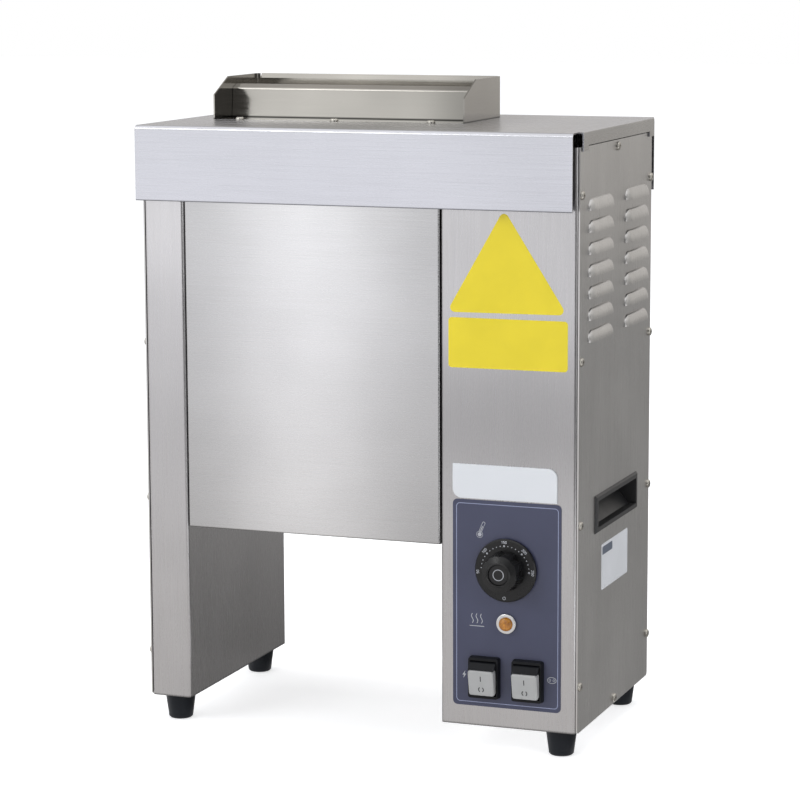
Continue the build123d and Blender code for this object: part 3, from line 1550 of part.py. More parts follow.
# Cooling fan on the column base, blowing up past the switches and the motor
fan_z = floor_z + sheet
with BuildPart() as fan_housing:
    with BuildSketch(Plane.XY.offset(fan_z)):
        with Locations((fan_x, fan_y)):
            RectangleRounded(fan_size, fan_size, fan_corner_radius)
            Circle(fan_bore_radius, mode=Mode.SUBTRACT)
    extrude(amount=fan_depth)
    strut_length = fan_bore_radius + fan_corner_radius / 2
    for strut in range(fan_struts):
        strut_plane = Plane(origin=(fan_x, fan_y, fan_z), z_dir=(0, 0, 1))
        with BuildSketch(strut_plane.rotated((0, 0, 360 * strut / fan_struts))) as bar:
            Rectangle(strut_length, fan_strut_width, align=(Align.MIN, Align.CENTER))
        extrude(bar.sketch, amount=fan_strut_height)
    with Locations((fan_x, fan_y, fan_z)):
        Cylinder(fan_hub_radius, fan_strut_height, align=(Align.CENTER, Align.CENTER, Align.MIN))
        Cylinder(fan_post_radius, fan_post_height, align=(Align.CENTER, Align.CENTER, Align.MIN))
fan_housing.part.label = "fan_housing"
export_step(fan_housing.part, "parts/fan_housing.step")

rotor_z = fan_z + fan_strut_height + seat_gap
blade_root = fan_hub_radius - overrun
with BuildPart() as fan_rotor:
    with Locations((fan_x, fan_y, rotor_z)):
        Cylinder(fan_hub_radius, fan_hub_height, align=(Align.CENTER, Align.CENTER, Align.MIN))
    blade_length = fan_blade_reach - blade_root
    tilt = radians(fan_blade_angle)
    for blade in range(fan_blades):
        turn = 2 * pi * blade / fan_blades
        radial = Vector(cos(turn), sin(turn), 0)
        tangent = Vector(-sin(turn), cos(turn), 0)
        hub_middle = Vector(fan_x, fan_y, rotor_z + fan_hub_height / 2)
        blade_plane = Plane(
            origin=hub_middle + radial * (blade_root + blade_length / 2),
            x_dir=radial,
            z_dir=tangent * sin(tilt) + Vector(0, 0, cos(tilt)),
        )
        with Locations(blade_plane.location):
            Box(blade_length, fan_blade_chord, fan_blade_thickness)
    with Locations((fan_x, fan_y, rotor_z)):
        Cylinder(fan_post_radius + running_gap, fan_post_height - fan_strut_height, mode=Mode.SUBTRACT,
                 align=(Align.CENTER, Align.CENTER, Align.MIN))
fan_rotor.part.label = "fan_rotor"
export_step(fan_rotor.part, "parts/fan_rotor.step")

# Cord gland through the column's rear wall, with its nut inside
gland_z = floor_z + gland_lift
with BuildPart() as cord_gland:
    y_bar(gland_radius, rear_y + gland_reach, rear_y, panel_middle, gland_z)
    fillet(cord_gland.faces().sort_by(Axis.Y)[-1].edges(), radius=gland_edge_round)
    y_bar(gland_body_radius, rear_y, rear_y - sheet - gland_inside, panel_middle, gland_z)
    with BuildSketch(Plane.XZ.offset(-(rear_y - sheet))) as nut:
        with Locations((panel_middle, gland_z)):
            RegularPolygon(gland_nut_width / 2, 6, major_radius=False)
    extrude(nut.sketch, amount=gland_nut_height)
    y_bar(gland_bore_radius, rear_y + gland_reach + overrun, rear_y - sheet - gland_inside - overrun,
          panel_middle, gland_z, Mode.SUBTRACT)
cord_gland.part.label = "cord_gland"
export_step(cord_gland.part, "parts/cord_gland.step")

# Terminal block on the rear wall above the gland, where the supply wires end
terminal_z = floor_z + terminal_block_lift
terminal_back = rear_y - sheet
terminal_front = terminal_back - terminal_block_depth
with BuildPart() as terminal_block:
    block(
        panel_middle - terminal_block_width / 2, panel_middle + terminal_block_width / 2,
        terminal_front, terminal_back,
        terminal_z - terminal_block_height / 2, terminal_z + terminal_block_height / 2,
    )
    for gap in range(terminal_ways + 1):
        x = panel_middle + (gap - terminal_ways / 2) * terminal_way_pitch
        block(
            x - terminal_rib / 2, x + terminal_rib / 2,
            terminal_front - terminal_rib, terminal_front,
            terminal_z - terminal_block_height / 2, terminal_z + terminal_block_height / 2,
        )
    for way in range(terminal_ways):
        x = panel_middle + (way + (1 - terminal_ways) / 2) * terminal_way_pitch
        for side in (-1, 1):
            y_bar(terminal_bore_radius, terminal_front + terminal_bore_depth, terminal_front - overrun,
                  x, terminal_z + side * terminal_block_height / 4, Mode.SUBTRACT)
terminal_block.part.label = "terminal_block"
export_step(terminal_block.part, "parts/terminal_block.step")
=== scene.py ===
import math

import bpy
from mathutils import Matrix, Vector


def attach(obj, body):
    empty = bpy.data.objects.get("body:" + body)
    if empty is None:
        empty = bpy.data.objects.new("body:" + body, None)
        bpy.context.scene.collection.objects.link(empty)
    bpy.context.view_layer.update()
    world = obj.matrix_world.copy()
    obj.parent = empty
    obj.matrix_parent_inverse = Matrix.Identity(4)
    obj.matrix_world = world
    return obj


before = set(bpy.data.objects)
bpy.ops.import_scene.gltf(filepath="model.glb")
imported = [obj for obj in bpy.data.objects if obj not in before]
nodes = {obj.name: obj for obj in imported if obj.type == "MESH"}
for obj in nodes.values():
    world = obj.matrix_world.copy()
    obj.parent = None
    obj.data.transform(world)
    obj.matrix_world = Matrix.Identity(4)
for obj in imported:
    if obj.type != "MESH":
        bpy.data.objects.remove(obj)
scene = bpy.context.scene
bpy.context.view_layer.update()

# A noise texture's values lie mostly between these two
NOISE_LOW, NOISE_HIGH = 0.3, 0.7

# Waves per metre: brushed streaks and bands across and along the brushing, and softer changes
STREAKS_ACROSS, STREAKS_ALONG = 900.0, 14.0
BANDS_ACROSS, BANDS_ALONG = 60.0, 5.0
CLOUDS, PATCHES, STAINS = 9.0, 35.0, 22.0

# Heights of the fine relief, in metres
BRUSHED_RELIEF, MOULDED_RELIEF, TURNED_RELIEF = 0.00008, 0.00012, 0.0001

# Colour sockets of a Mix node
MIX_FIRST, MIX_SECOND, MIX_RESULT = 6, 7, 2

WHITE = (1.0, 1.0, 1.0)


# Materials
def new_material(name):
    """An empty node material, its tree and its Principled shader."""
    material = bpy.data.materials.new(name)
    material.use_nodes = True
    tree = material.node_tree
    shader = next(n for n in tree.nodes if n.type == "BSDF_PRINCIPLED")
    return material, tree, shader


def grey(value, tint=WHITE):
    """A linear colour from a level and a tint."""
    return (value * tint[0], value * tint[1], value * tint[2], 1.0)


def noise(tree, scale, detail=3.0, roughness=0.6, stretch=(1.0, 1.0, 1.0)):
    """A noise texture in the piece's own coordinates, scale in waves per metre."""
    coords = tree.nodes.new("ShaderNodeTexCoord")
    mapping = tree.nodes.new("ShaderNodeMapping")
    mapping.inputs["Scale"].default_value = stretch
    texture = tree.nodes.new("ShaderNodeTexNoise")
    texture.inputs["Scale"].default_value = scale
    texture.inputs["Detail"].default_value = detail
    texture.inputs["Roughness"].default_value = roughness
    tree.links.new(coords.outputs["Object"], mapping.inputs["Vector"])
    tree.links.new(mapping.outputs["Vector"], texture.inputs["Vector"])
    return texture.outputs["Fac"]


def ranged(tree, value, low, high):
    """A noise value spread over low to high."""
    node = tree.nodes.new("ShaderNodeMapRange")
    node.inputs["From Min"].default_value = NOISE_LOW
    node.inputs["From Max"].default_value = NOISE_HIGH
    node.inputs["To Min"].default_value = low
    node.inputs["To Max"].default_value = high
    tree.links.new(value, node.inputs["Value"])
    return node.outputs["Result"]


def colour_between(tree, value, first, second):
    """A colour that follows a noise value from the first colour to the second."""
    ramp = tree.nodes.new("ShaderNodeValToRGB")
    ramp.color_ramp.elements[0].position = NOISE_LOW
    ramp.color_ramp.elements[0].color = first
    ramp.color_ramp.elements[1].position = NOISE_HIGH
    ramp.color_ramp.elements[1].color = second
    tree.links.new(value, ramp.inputs["Fac"])
    return ramp.outputs["Color"]


def multiply(tree, first, second):
    """Two colours multiplied."""
    node = tree.nodes.new("ShaderNodeMix")
    node.data_type = "RGBA"
    node.blend_type = "MULTIPLY"
    node.inputs["Factor"].default_value = 1.0
    tree.links.new(first, node.inputs[MIX_FIRST])
    tree.links.new(second, node.inputs[MIX_SECOND])
    return node.outputs[MIX_RESULT]


def bump(tree, shader, height, strength, distance):
    """Fine relief from a height value."""
    node = tree.nodes.new("ShaderNodeBump")
    node.inputs["Strength"].default_value = strength
    node.inputs["Distance"].default_value = distance
    tree.links.new(height, node.inputs["Height"])
    tree.links.new(node.outputs["Normal"], shader.inputs["Normal"])


def brushed(
    name, level, rough, along, tint=(1.0, 1.0, 1.02), contrast=0.06, cloud=0.05, relief=0.10
):
    """Sheet steel brushed along one axis: fine streaks, soft clouds, a little relief."""
    material, tree, shader = new_material(name)
    fine = [STREAKS_ACROSS] * 3
    fine[along] = STREAKS_ALONG
    broad = [BANDS_ACROSS] * 3
    broad[along] = BANDS_ALONG
    streaks = noise(tree, 1.0, 4.0, 0.7, fine)
    bands = noise(tree, 1.0, 2.0, 0.5, broad)
    clouds = noise(tree, CLOUDS, 2.0, 0.5)
    first = colour_between(tree, streaks, grey(1 - contrast), grey(1 + contrast * 0.4))
    second = colour_between(tree, bands, grey(1 - contrast * 0.6), grey(1.0))
    dull, clear = grey(level * (1 - cloud), tint), grey(level * (1 + cloud), tint)
    third = colour_between(tree, clouds, dull, clear)
    colour = multiply(tree, multiply(tree, first, second), third)
    tree.links.new(colour, shader.inputs["Base Color"])
    tree.links.new(ranged(tree, streaks, rough - 0.05, rough + 0.07), shader.inputs["Roughness"])
    shader.inputs["Metallic"].default_value = 1.0
    shader.inputs["Anisotropic"].default_value = 0.5
    bump(tree, shader, streaks, relief, BRUSHED_RELIEF)
    return material


def moulded(
    name, level, rough, tint=WHITE, grain=1500.0, relief=0.12, spread=0.12, gloss=0.06, shine=0.5
):
    """Moulded plastic, rubber, film or print: fine grain, soft colour variation, uneven gloss."""
    material, tree, shader = new_material(name)
    grain_noise = noise(tree, grain, 3.0, 0.6)
    patches = noise(tree, PATCHES, 3.0, 0.5)
    dark, light = grey(level * (1 - spread), tint), grey(level * (1 + spread), tint)
    colour = colour_between(tree, patches, dark, light)
    tree.links.new(colour, shader.inputs["Base Color"])
    tree.links.new(ranged(tree, patches, rough - gloss, rough + gloss), shader.inputs["Roughness"])
    shader.inputs["Specular IOR Level"].default_value = shine
    bump(tree, shader, grain_noise, relief, MOULDED_RELIEF)
    return material


def turned(name, level, rough, tint=WHITE, stretch=(700.0, 60.0, 60.0)):
    """Machined or cast metal with tool marks and faint stains."""
    material, tree, shader = new_material(name)
    marks = noise(tree, 1.0, 3.0, 0.6, stretch)
    stains = noise(tree, STAINS, 4.0, 0.6)
    colour = colour_between(tree, stains, grey(level * 0.86, tint), grey(level * 1.08, tint))
    tree.links.new(colour, shader.inputs["Base Color"])
    tree.links.new(ranged(tree, marks, rough - 0.07, rough + 0.08), shader.inputs["Roughness"])
    shader.inputs["Metallic"].default_value = 1.0
    bump(tree, shader, marks, 0.15, TURNED_RELIEF)
    return material


def paint_light_and_shade(material, axis, middle, reach, near, far):
    """Paints light and shade into a material's colour along an axis: a share at the middle, another
    from the reach on.
    """
    tree = material.node_tree
    shader = next(n for n in tree.nodes if n.type == "BSDF_PRINCIPLED")
    colour = shader.inputs["Base Color"].links[0].from_socket
    coords = tree.nodes.new("ShaderNodeTexCoord")
    split = tree.nodes.new("ShaderNodeSeparateXYZ")
    tree.links.new(coords.outputs["Object"], split.inputs[0])
    away = tree.nodes.new("ShaderNodeMath")
    away.operation = "SUBTRACT"
    away.inputs[1].default_value = middle
    tree.links.new(split.outputs[axis], away.inputs[0])
    size = tree.nodes.new("ShaderNodeMath")
    size.operation = "ABSOLUTE"
    tree.links.new(away.outputs[0], size.inputs[0])
    fade = tree.nodes.new("ShaderNodeMapRange")
    fade.interpolation_type = "SMOOTHSTEP"
    fade.inputs["From Min"].default_value = 0.0
    fade.inputs["From Max"].default_value = reach
    fade.inputs["To Min"].default_value = near
    fade.inputs["To Max"].default_value = far
    tree.links.new(size.outputs[0], fade.inputs["Value"])
    shade = tree.nodes.new("ShaderNodeCombineColor")
    for channel in ("Red", "Green", "Blue"):
        tree.links.new(fade.outputs["Result"], shade.inputs[channel])
    tree.links.new(multiply(tree, colour, shade.outputs["Color"]), shader.inputs["Base Color"])


X, Y, Z = 0, 1, 2
steel_across = brushed(
    "steel_brushed_across", 0.72, 0.27, X, tint=(1.0, 0.995, 1.0), contrast=0.03, relief=0.07
)
# The leg and the column take copies of one shell steel, so that each gets its own painted light and
# shade
shell_steel = dict(tint=(1.0, 0.985, 0.995), contrast=0.03, relief=0.06)
steel_leg = brushed("steel_leg", 0.52, 0.28, Z, **shell_steel)
steel_column = brushed("steel_column", 0.52, 0.28, Z, **shell_steel)
steel_side = brushed(
    "steel_side_panel", 0.58, 0.30, Z, tint=(1.0, 0.985, 0.97), contrast=0.07, cloud=0.08
)
cover_steel = dict(contrast=0.008, cloud=0.03, relief=0.02)
steel_cover = brushed("steel_cover", 0.57, 0.25, X, tint=(0.98, 0.985, 1.05), **cover_steel)
# The cover's flat top takes a copy of the cover steel that carries a painted reflection of the
# hopper as a dark strip
top_steel_painted_reflection = brushed("steel_cover_top_painted_reflection", 0.57, 0.25, X, tint=(0.985, 0.985, 1.035), **cover_steel)
# A copy of the cover steel, brushed the other way, for faces that look sideways; its darker level
# is painted shade
lip_steel_painted_shade = brushed("steel_cover_lip_painted_shade", 0.46, 0.28, Y, tint=(1.0, 0.985, 0.965), contrast=0.06)
steel_bright = brushed(
    "steel_hopper", 0.44, 0.12, X, tint=(1.0, 0.96, 0.885), contrast=0.04, cloud=0.12
)
# A copy of the hopper steel for the wings' faces that look sideways; its darker level is painted
# shade
wing_steel_painted_shade = brushed("steel_hopper_wing_painted_shade", 0.38, 0.14, Y, tint=(1.0, 0.965, 0.91), contrast=0.05)

# Heights on the casing where light and shade are painted on the steel, in metres
SHELL_EDGE = 0.023
SHIELD_EDGE = 0.176
LEG_DARK = 0.28
COLUMN_DARK = 0.285
SKIRT_EDGE = 0.459
LEG_BRIGHT = 0.46
CASING_TOP = 0.523

# Places across the casing, and the line where the top goes over into its front bend, where light
# and shade are painted
SHIELD_MIDDLE = -0.046
HOPPER_MIDDLE = -0.016
DIVIDER_RIGHT = 0.060
COVER_RIGHT = 0.19
COVER_BEND = -0.1113

# Painted light and shade on the sheets: axis, middle, reach, share at the middle, share from the
# reach on
# Painted highlights: the shield lighter in its middle, the leg lighter at its top
# Painted reflections: a dark line where the top meets its front bend, a dark strip on the top
# before the hopper
# Painted reflections: darker middle bands on leg and column, darker right ends of cover and divider
# Painted shade: dark lines at the lower edges of shield, shells and skirt, and where the hopper
# meets the top
painted_light_and_shade = (
    (steel_across, X, SHIELD_MIDDLE, 0.125, 1.0, 0.66),
    (steel_across, Z, SHIELD_EDGE, 0.0014, 0.35, 1.0),
    (steel_leg, Z, LEG_BRIGHT, 0.12, 1.12, 1.0),
    (steel_leg, Z, LEG_DARK, 0.09, 0.91, 1.0),
    (steel_leg, Z, SHELL_EDGE, 0.0020, 0.35, 1.0),
    (steel_column, Z, COLUMN_DARK, 0.11, 0.74, 0.98),
    (steel_column, Z, SHELL_EDGE, 0.0020, 0.35, 1.0),
    (steel_cover, Z, SKIRT_EDGE, 0.0014, 0.15, 1.0),
    (steel_cover, Y, COVER_BEND, 0.0010, 0.45, 1.0),
    (steel_cover, X, COVER_RIGHT, 0.15, 0.93, 1.0),
    (top_steel_painted_reflection, X, COVER_RIGHT, 0.15, 0.93, 1.0),
    (top_steel_painted_reflection, X, HOPPER_MIDDLE, 0.155, 0.42, 1.0),
    (steel_bright, Z, CASING_TOP, 0.0016, 0.08, 1.0),
    (steel_bright, X, DIVIDER_RIGHT, 0.07, 0.62, 1.0),
    (wing_steel_painted_shade, Z, CASING_TOP, 0.0016, 0.08, 1.0),
)
for material, *shade in painted_light_and_shade:
    paint_light_and_shade(material, *shade)

steel_inner = brushed("steel_inner", 0.52, 0.38, X)
plated = turned("plated_steel", 0.50, 0.35)
screw_metal = turned("screw_steel", 0.52, 0.26, (1.0, 0.96, 0.88))
chrome = turned("chrome_bezel", 0.66, 0.14, stretch=(300.0, 300.0, 300.0))
aluminium = turned("machined_aluminium", 0.62, 0.33, (1.0, 1.0, 1.01))
bronze = turned("bush_bronze", 0.55, 0.32, (1.0, 0.68, 0.30))
gear_metal = turned("gear_steel", 0.40, 0.30)
heater_metal = turned("heater_sheath", 0.34, 0.42, (1.0, 0.94, 0.86))
black_plastic = moulded("black_plastic", 0.010, 0.40, (0.93, 1.0, 1.2), shine=0.17)
handle_black = moulded("handle_plastic", 0.022, 0.46, (1.0, 1.0, 1.05), grain=900.0, relief=0.25)
knob_black = moulded("knob_plastic", 0.010, 0.28, (1.0, 1.0, 1.05), shine=0.34)
rubber = moulded("foot_rubber", 0.010, 0.50, (0.9, 1.1, 1.5), grain=700.0, relief=0.3, shine=0.2)
overlay_blue = moulded(
    "overlay_film", 0.056, 0.36, (0.94, 1.04, 1.95), grain=2200.0, relief=0.08, spread=0.05
)
plate_white = moulded(
    "blank_plate", 0.84, 0.30, (0.98, 1.0, 1.03),
    grain=900.0, relief=0.02, spread=0.006, gloss=0.008,
)
cap_silver = moulded(
    "switch_silver", 0.47, 0.36, (1.0, 1.0, 0.985), grain=2600.0, relief=0.10, spread=0.03
)
release_brown = moulded("release_film", 0.30, 0.40, (1.0, 0.68, 0.38), grain=900.0)
belt_red = moulded("belt_silicone", 0.24, 0.55, (1.0, 0.36, 0.20), grain=800.0, relief=0.3)
motor_paint = moulded("motor_black", 0.03, 0.40, (1.0, 1.0, 1.1), grain=500.0)
terminal_cream = moulded("terminal_cream", 0.68, 0.5, (1.0, 0.94, 0.80), grain=500.0)

lens_amber, lens_tree, lens_shader = new_material("lamp_amber")
lens_glow = noise(lens_tree, 320.0, 3.0, 0.6)
lens_colour = colour_between(lens_tree, lens_glow, (0.30, 0.095, 0.006, 1), (0.66, 0.27, 0.02, 1))
lens_tree.links.new(lens_colour, lens_shader.inputs["Base Color"])
lens_tree.links.new(ranged(lens_tree, lens_glow, 0.08, 0.16), lens_shader.inputs["Roughness"])
lens_shader.inputs["Coat Weight"].default_value = 0.6
lens_shader.inputs["Subsurface Weight"].default_value = 0.15
lens_shader.inputs["Subsurface Radius"].default_value = (0.004, 0.002, 0.001)

finishes = {
    steel_cover: ["top_cover"],
    steel_across: ["front_shield", "rear_cover"],
    steel_leg: ["leg_shell"],
    steel_column: ["column_shell"],
    steel_side: ["side_panel", "leg_side_panel"],
    steel_bright: ["feeder_hopper", "feeder_divider"],
    steel_inner: [
        "leg_base", "column_base", "column_top_rail", "crossbars", "feed_guides",
        "left_side_plate", "right_side_plate", "side_spacers", "belt_beds", "motor_bracket",
    ],
    plated: ["thermostat_shaft", "thermostat_body", "gear_studs", "platen_bolts"],
    screw_metal: ["panel_screws", "feeder_screws"],
    chrome: ["pilot_bezel"],
    aluminium: [
        "platen", "front_drive_roller", "rear_drive_roller", "front_idler_roller",
        "rear_idler_roller",
    ],
    bronze: ["shaft_bushes"],
    gear_metal: [
        "front_drive_gear", "rear_drive_gear", "front_middle_gear", "rear_middle_gear",
        "motor_sprocket", "drive_chain",
    ],
    heater_metal: ["platen_heaters"],
    black_plastic: [
        "power_switch_housing", "motor_switch_housing", "power_rocker", "motor_rocker",
        "fan_housing", "fan_rotor", "cord_gland",
    ],
    handle_black: ["recessed_handle"],
    knob_black: ["thermostat_knob", "knob_cap"],
    rubber: ["feet"],
    overlay_blue: ["control_overlay"],
    plate_white: ["name_plate"],
    cap_silver: ["power_rocker_cap", "motor_rocker_cap"],
    release_brown: ["release_sheets"],
    belt_red: ["front_belt", "rear_belt"],
    motor_paint: ["gearmotor"],
    terminal_cream: ["terminal_block"],
    lens_amber: ["pilot_lens"],
}
for material, names in finishes.items():
    for name in names:
        mesh = nodes[name].data
        mesh.materials.clear()
        mesh.materials.append(material)

# Faces of a sheet that get another material: those that look sideways get a darker copy with
# painted shade, and the cover's flat top one with a painted reflection
SIDEWAYS, FLAT = 0.7, 0.95
for name, material in (("top_cover", lip_steel_painted_shade), ("feeder_hopper", wing_steel_painted_shade)):
    mesh = nodes[name].data
    mesh.materials.append(material)
    for face in mesh.polygons:
        if abs(face.normal.x) > SIDEWAYS:
            face.material_index = 1
cover_mesh = nodes["top_cover"].data
cover_mesh.materials.append(top_steel_painted_reflection)
for face in cover_mesh.polygons:
    if face.normal.z > FLAT:
        face.material_index = 2


MILLIMETRE = 0.001


def full_turn(count):
    """Evenly spaced angles round a circle."""
    return [2 * math.pi * i / count for i in range(count)]


# Prints and labels: flat shapes in millimetres on a plane, a hair proud of the piece they are on
class Relief:
    """Thin raised shapes that share a plane, a material and a body."""

    def __init__(self, origin, across, outward, thickness):
        self.origin = Vector(origin) * MILLIMETRE
        self.across = Vector(across).normalized()
        self.outward = Vector(outward).normalized()
        self.upward = self.outward.cross(self.across)
        self.thickness = thickness * MILLIMETRE
        self.points = []
        self.faces = []

    def lay(self, outline):
        """Both layers of an outline's points; returns the first index of each layer."""
        starts = []
        for depth in (0.0, self.thickness):
            starts.append(len(self.points))
            for u, v in outline:
                place = self.origin + (self.across * u + self.upward * v) * MILLIMETRE
                self.points.append(place + self.outward * depth)
        return starts

    def wall(self, low, high, count):
        """The faces between two layers of an outline."""
        for i in range(count):
            j = (i + 1) % count
            self.faces.append((low + i, low + j, high + j, high + i))

    def fill(self, outline):
        """A plate with a counterclockwise outline."""
        low, high = self.lay(outline)
        count = len(outline)
        self.faces.append(tuple(range(high, high + count)))
        self.faces.append(tuple(range(low + count - 1, low - 1, -1)))
        self.wall(low, high, count)

    def ring(self, outer, inner):
        """A closed band between two counterclockwise outlines with as many points."""
        low_out, high_out = self.lay(outer)
        low_in, high_in = self.lay(inner)
        count = len(outer)
        for i in range(count):
            j = (i + 1) % count
            self.faces.append((high_out + i, high_out + j, high_in + j, high_in + i))
            self.faces.append((low_out + j, low_out + i, low_in + i, low_in + j))
            self.faces.append((low_out + i, low_out + j, high_out + j, high_out + i))
            self.faces.append((low_in + j, low_in + i, high_in + i, high_in + j))

    def stroke(self, path, width, closed=False):
        """A line of even width along a path."""
        count = len(path)
        left, right = [], []
        for i, (u, v) in enumerate(path):
            before = path[i - 1] if i or closed else path[i]
            after = path[(i + 1) % count] if i < count - 1 or closed else path[i]
            first = Vector((u - before[0], v - before[1]))
            second = Vector((after[0] - u, after[1] - v))
            first = first.normalized() if first.length else second.normalized()
            second = second.normalized() if second.length else first
            middle = (first + second).normalized()
            reach = width / 2 / max(0.5, middle.dot(first))
            left.append((u - middle.y * reach, v + middle.x * reach))
            right.append((u + middle.y * reach, v - middle.x * reach))
        if closed:
            self.ring(right, left)
        else:
            self.fill(right + left[::-1])

    def disc(self, u, v, radius, count=20):
        """A round dot."""
        self.fill([(u + radius * math.cos(a), v + radius * math.sin(a)) for a in full_turn(count)])

    def circle(self, u, v, radius, width, count=40, stretch=1.0):
        """A line round a circle, or an ellipse that is wider by the stretch."""
        wide = radius * stretch
        outline = [(u + wide * math.cos(a), v + radius * math.sin(a)) for a in full_turn(count)]
        self.stroke(outline, width, closed=True)

    def make(self, name, material, body=None):
        """Makes the object, and puts it on a body where it moves with one."""
        mesh = bpy.data.meshes.new(name)
        mesh.from_pydata([tuple(p) for p in self.points], [], self.faces)
        mesh.materials.append(material)
        item = bpy.data.objects.new(name, mesh)
        scene.collection.objects.link(item)
        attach(item, body or "machine")


def rectangle(left, low, right, high):
    """Four corners, counterclockwise."""
    return [(left, low), (right, low), (right, high), (left, high)]


def rounded(corners, radius, steps=8):
    """A counterclockwise polygon with each corner rounded."""
    outline = []
    count = len(corners)
    for i in range(count):
        here = Vector(corners[i])
        before = (Vector(corners[i - 1]) - here).normalized()
        after = (Vector(corners[(i + 1) % count]) - here).normalized()
        half = math.acos(max(-1, min(1, before.dot(after)))) / 2
        centre = here + (before + after).normalized() * (radius / math.sin(half))
        start = here + before * (radius / math.tan(half)) - centre
        finish = here + after * (radius / math.tan(half)) - centre
        first_angle = math.atan2(start.y, start.x)
        turn = (math.atan2(finish.y, finish.x) - first_angle) % (2 * math.pi)
        for step in range(steps + 1):
            angle = first_angle + turn * step / steps
            across, along = radius * math.cos(angle), radius * math.sin(angle)
            outline.append((centre.x + across, centre.y + along))
    return outline


ink = dict(grain=2600.0, relief=0.03)
paper = dict(grain=900.0, relief=0.05)
print_light = moulded("print_light", 0.52, 0.40, (0.96, 0.98, 1.04), spread=0.05, **ink)
print_line = moulded("print_line", 0.39, 0.40, (0.88, 0.97, 1.42), spread=0.05, **ink)
print_dark = moulded("print_dark", 0.035, 0.45, spread=0.08, **ink)
sticker_yellow = moulded(
    "sticker_yellow", 0.90, 0.42, (1.0, 0.80, 0.004), grain=700.0, relief=0.05, spread=0.03
)
label_white = moulded("label_white", 0.78, 0.42, (0.985, 1.0, 1.03), spread=0.03, **paper)
label_band = moulded("label_band", 0.13, 0.42, (0.80, 0.98, 1.35), spread=0.05, **paper)

# Places in millimetres: the casing's lower front left corner, and the middles of the controls
casing_x, casing_y, casing_z = -196.55, -104.25, 23.0
casing_right = 194.45
overlay_thickness = 0.5
overlay_y = casing_y - overlay_thickness
panel_x = 132.85
knob_z, switch_z = 158.8, 65.5

# Thicknesses of the flat shapes, in millimetres
PRINT, MARK, STICKER, LABEL, BAND = 0.04, 0.05, 0.12, 0.10, 0.03


def on_front(level, thickness):
    """A relief on a plane that looks forward; its points are casing coordinates."""
    return Relief((casing_x, level, casing_z), (1, 0, 0), (0, -1, 0), thickness)


# Thin line on the overlay
line = on_front(overlay_y, PRINT)
line.stroke(rounded(rectangle(285.2, 20.4, 374.3, 190.2), 3.0), 0.55, closed=True)
line.make("overlay_line", print_line)

# Generic signs on the overlay: thermometer, heat waves over a plate, bolt, belt over two wheels
signs = on_front(overlay_y, PRINT)
tube = [(304.9, 166.8), (307.0, 166.0), (310.6, 174.6), (308.6, 175.5)]
bulb = (305.6, 164.4)
signs.stroke(rounded(tube, 0.95, 6), 0.4, closed=True)
signs.disc(*bulb, 1.7)
signs.circle(*bulb, 2.7, 0.35, 28)
signs.stroke([(306.4, 167.2), (308.2, 171.6)], 0.6)
wave_low, wave_height, wave_reach, wave_pitch, wave_steps = 88.4, 8.2, 0.8, 4.0, 12
for wave in range(3):
    start = 299.2 + wave * wave_pitch
    path = []
    for t in range(wave_steps + 1):
        sway = wave_reach * math.sin(2 * math.pi * t / wave_steps)
        path.append((start + sway, wave_low + wave_height * t / wave_steps))
    signs.stroke(path, 0.55)
signs.stroke([(296.8, 86.0), (309.6, 86.0)], 0.55)
bolt = [(291.1, 40.2), (293.7, 43.9), (292.2, 44.0), (293.0, 46.9), (290.3, 43.1), (291.8, 43.0)]
signs.fill(bolt)
belt_z = 44.6
signs.circle(369.2, belt_z, 2.55, 0.45, 36, 1.5)
for wheel_x in (367.5, 370.9):
    signs.circle(wheel_x, belt_z, 0.85, 0.3, 16)
signs.make("overlay_signs", print_light)

# Dial marks on the knob's skirt: large and small dots, plain numbers, and an off mark
digit_paths = {
    "0": [(0.3 + 0.28 * math.cos(a), 0.5 + 0.5 * math.sin(a)) for a in full_turn(16)],
    "1": [(0.12, 0.78), (0.38, 1.0), (0.38, 0.0)],
    "2": [
        (0.02, 0.76), (0.14, 0.95), (0.32, 1.0), (0.52, 0.9), (0.56, 0.7), (0.44, 0.45),
        (0.02, 0.0), (0.6, 0.0),
    ],
    "5": [
        (0.54, 1.0), (0.1, 1.0), (0.05, 0.56), (0.3, 0.63), (0.56, 0.5), (0.58, 0.2),
        (0.32, 0.0), (0.0, 0.08),
    ],
}
knob_gap, skirt_height, knob_height, cap_sink = 1.0, 3.2, 22.0, 0.9
skirt_face_y = overlay_y - knob_gap - skirt_height
dial = Relief((panel_x, skirt_face_y, knob_z), (1, 0, 0), (0, -1, 0), MARK)


def on_dial(angle, radius):
    """A place on the dial; the angle is clockwise from the top, in degrees."""
    turn = math.radians(angle)
    return radius * math.sin(turn), radius * math.cos(turn)


def number_on_dial(text, angle, radius, height):
    """Digits centred on a radius and upright towards the rim."""
    out = Vector(on_dial(angle, 1.0))
    side = Vector((out.y, -out.x))
    step = 0.82 * height
    for place, digit in enumerate(text):
        shift = (place - (len(text) - 1) / 2) * step
        corner = out * (radius - height / 2) + side * (shift - 0.3 * height)
        placed = [corner + side * (u * height) + out * (v * height) for u, v in digit_paths[digit]]
        dial.stroke([(p.x, p.y) for p in placed], 0.40, closed=digit == "0")


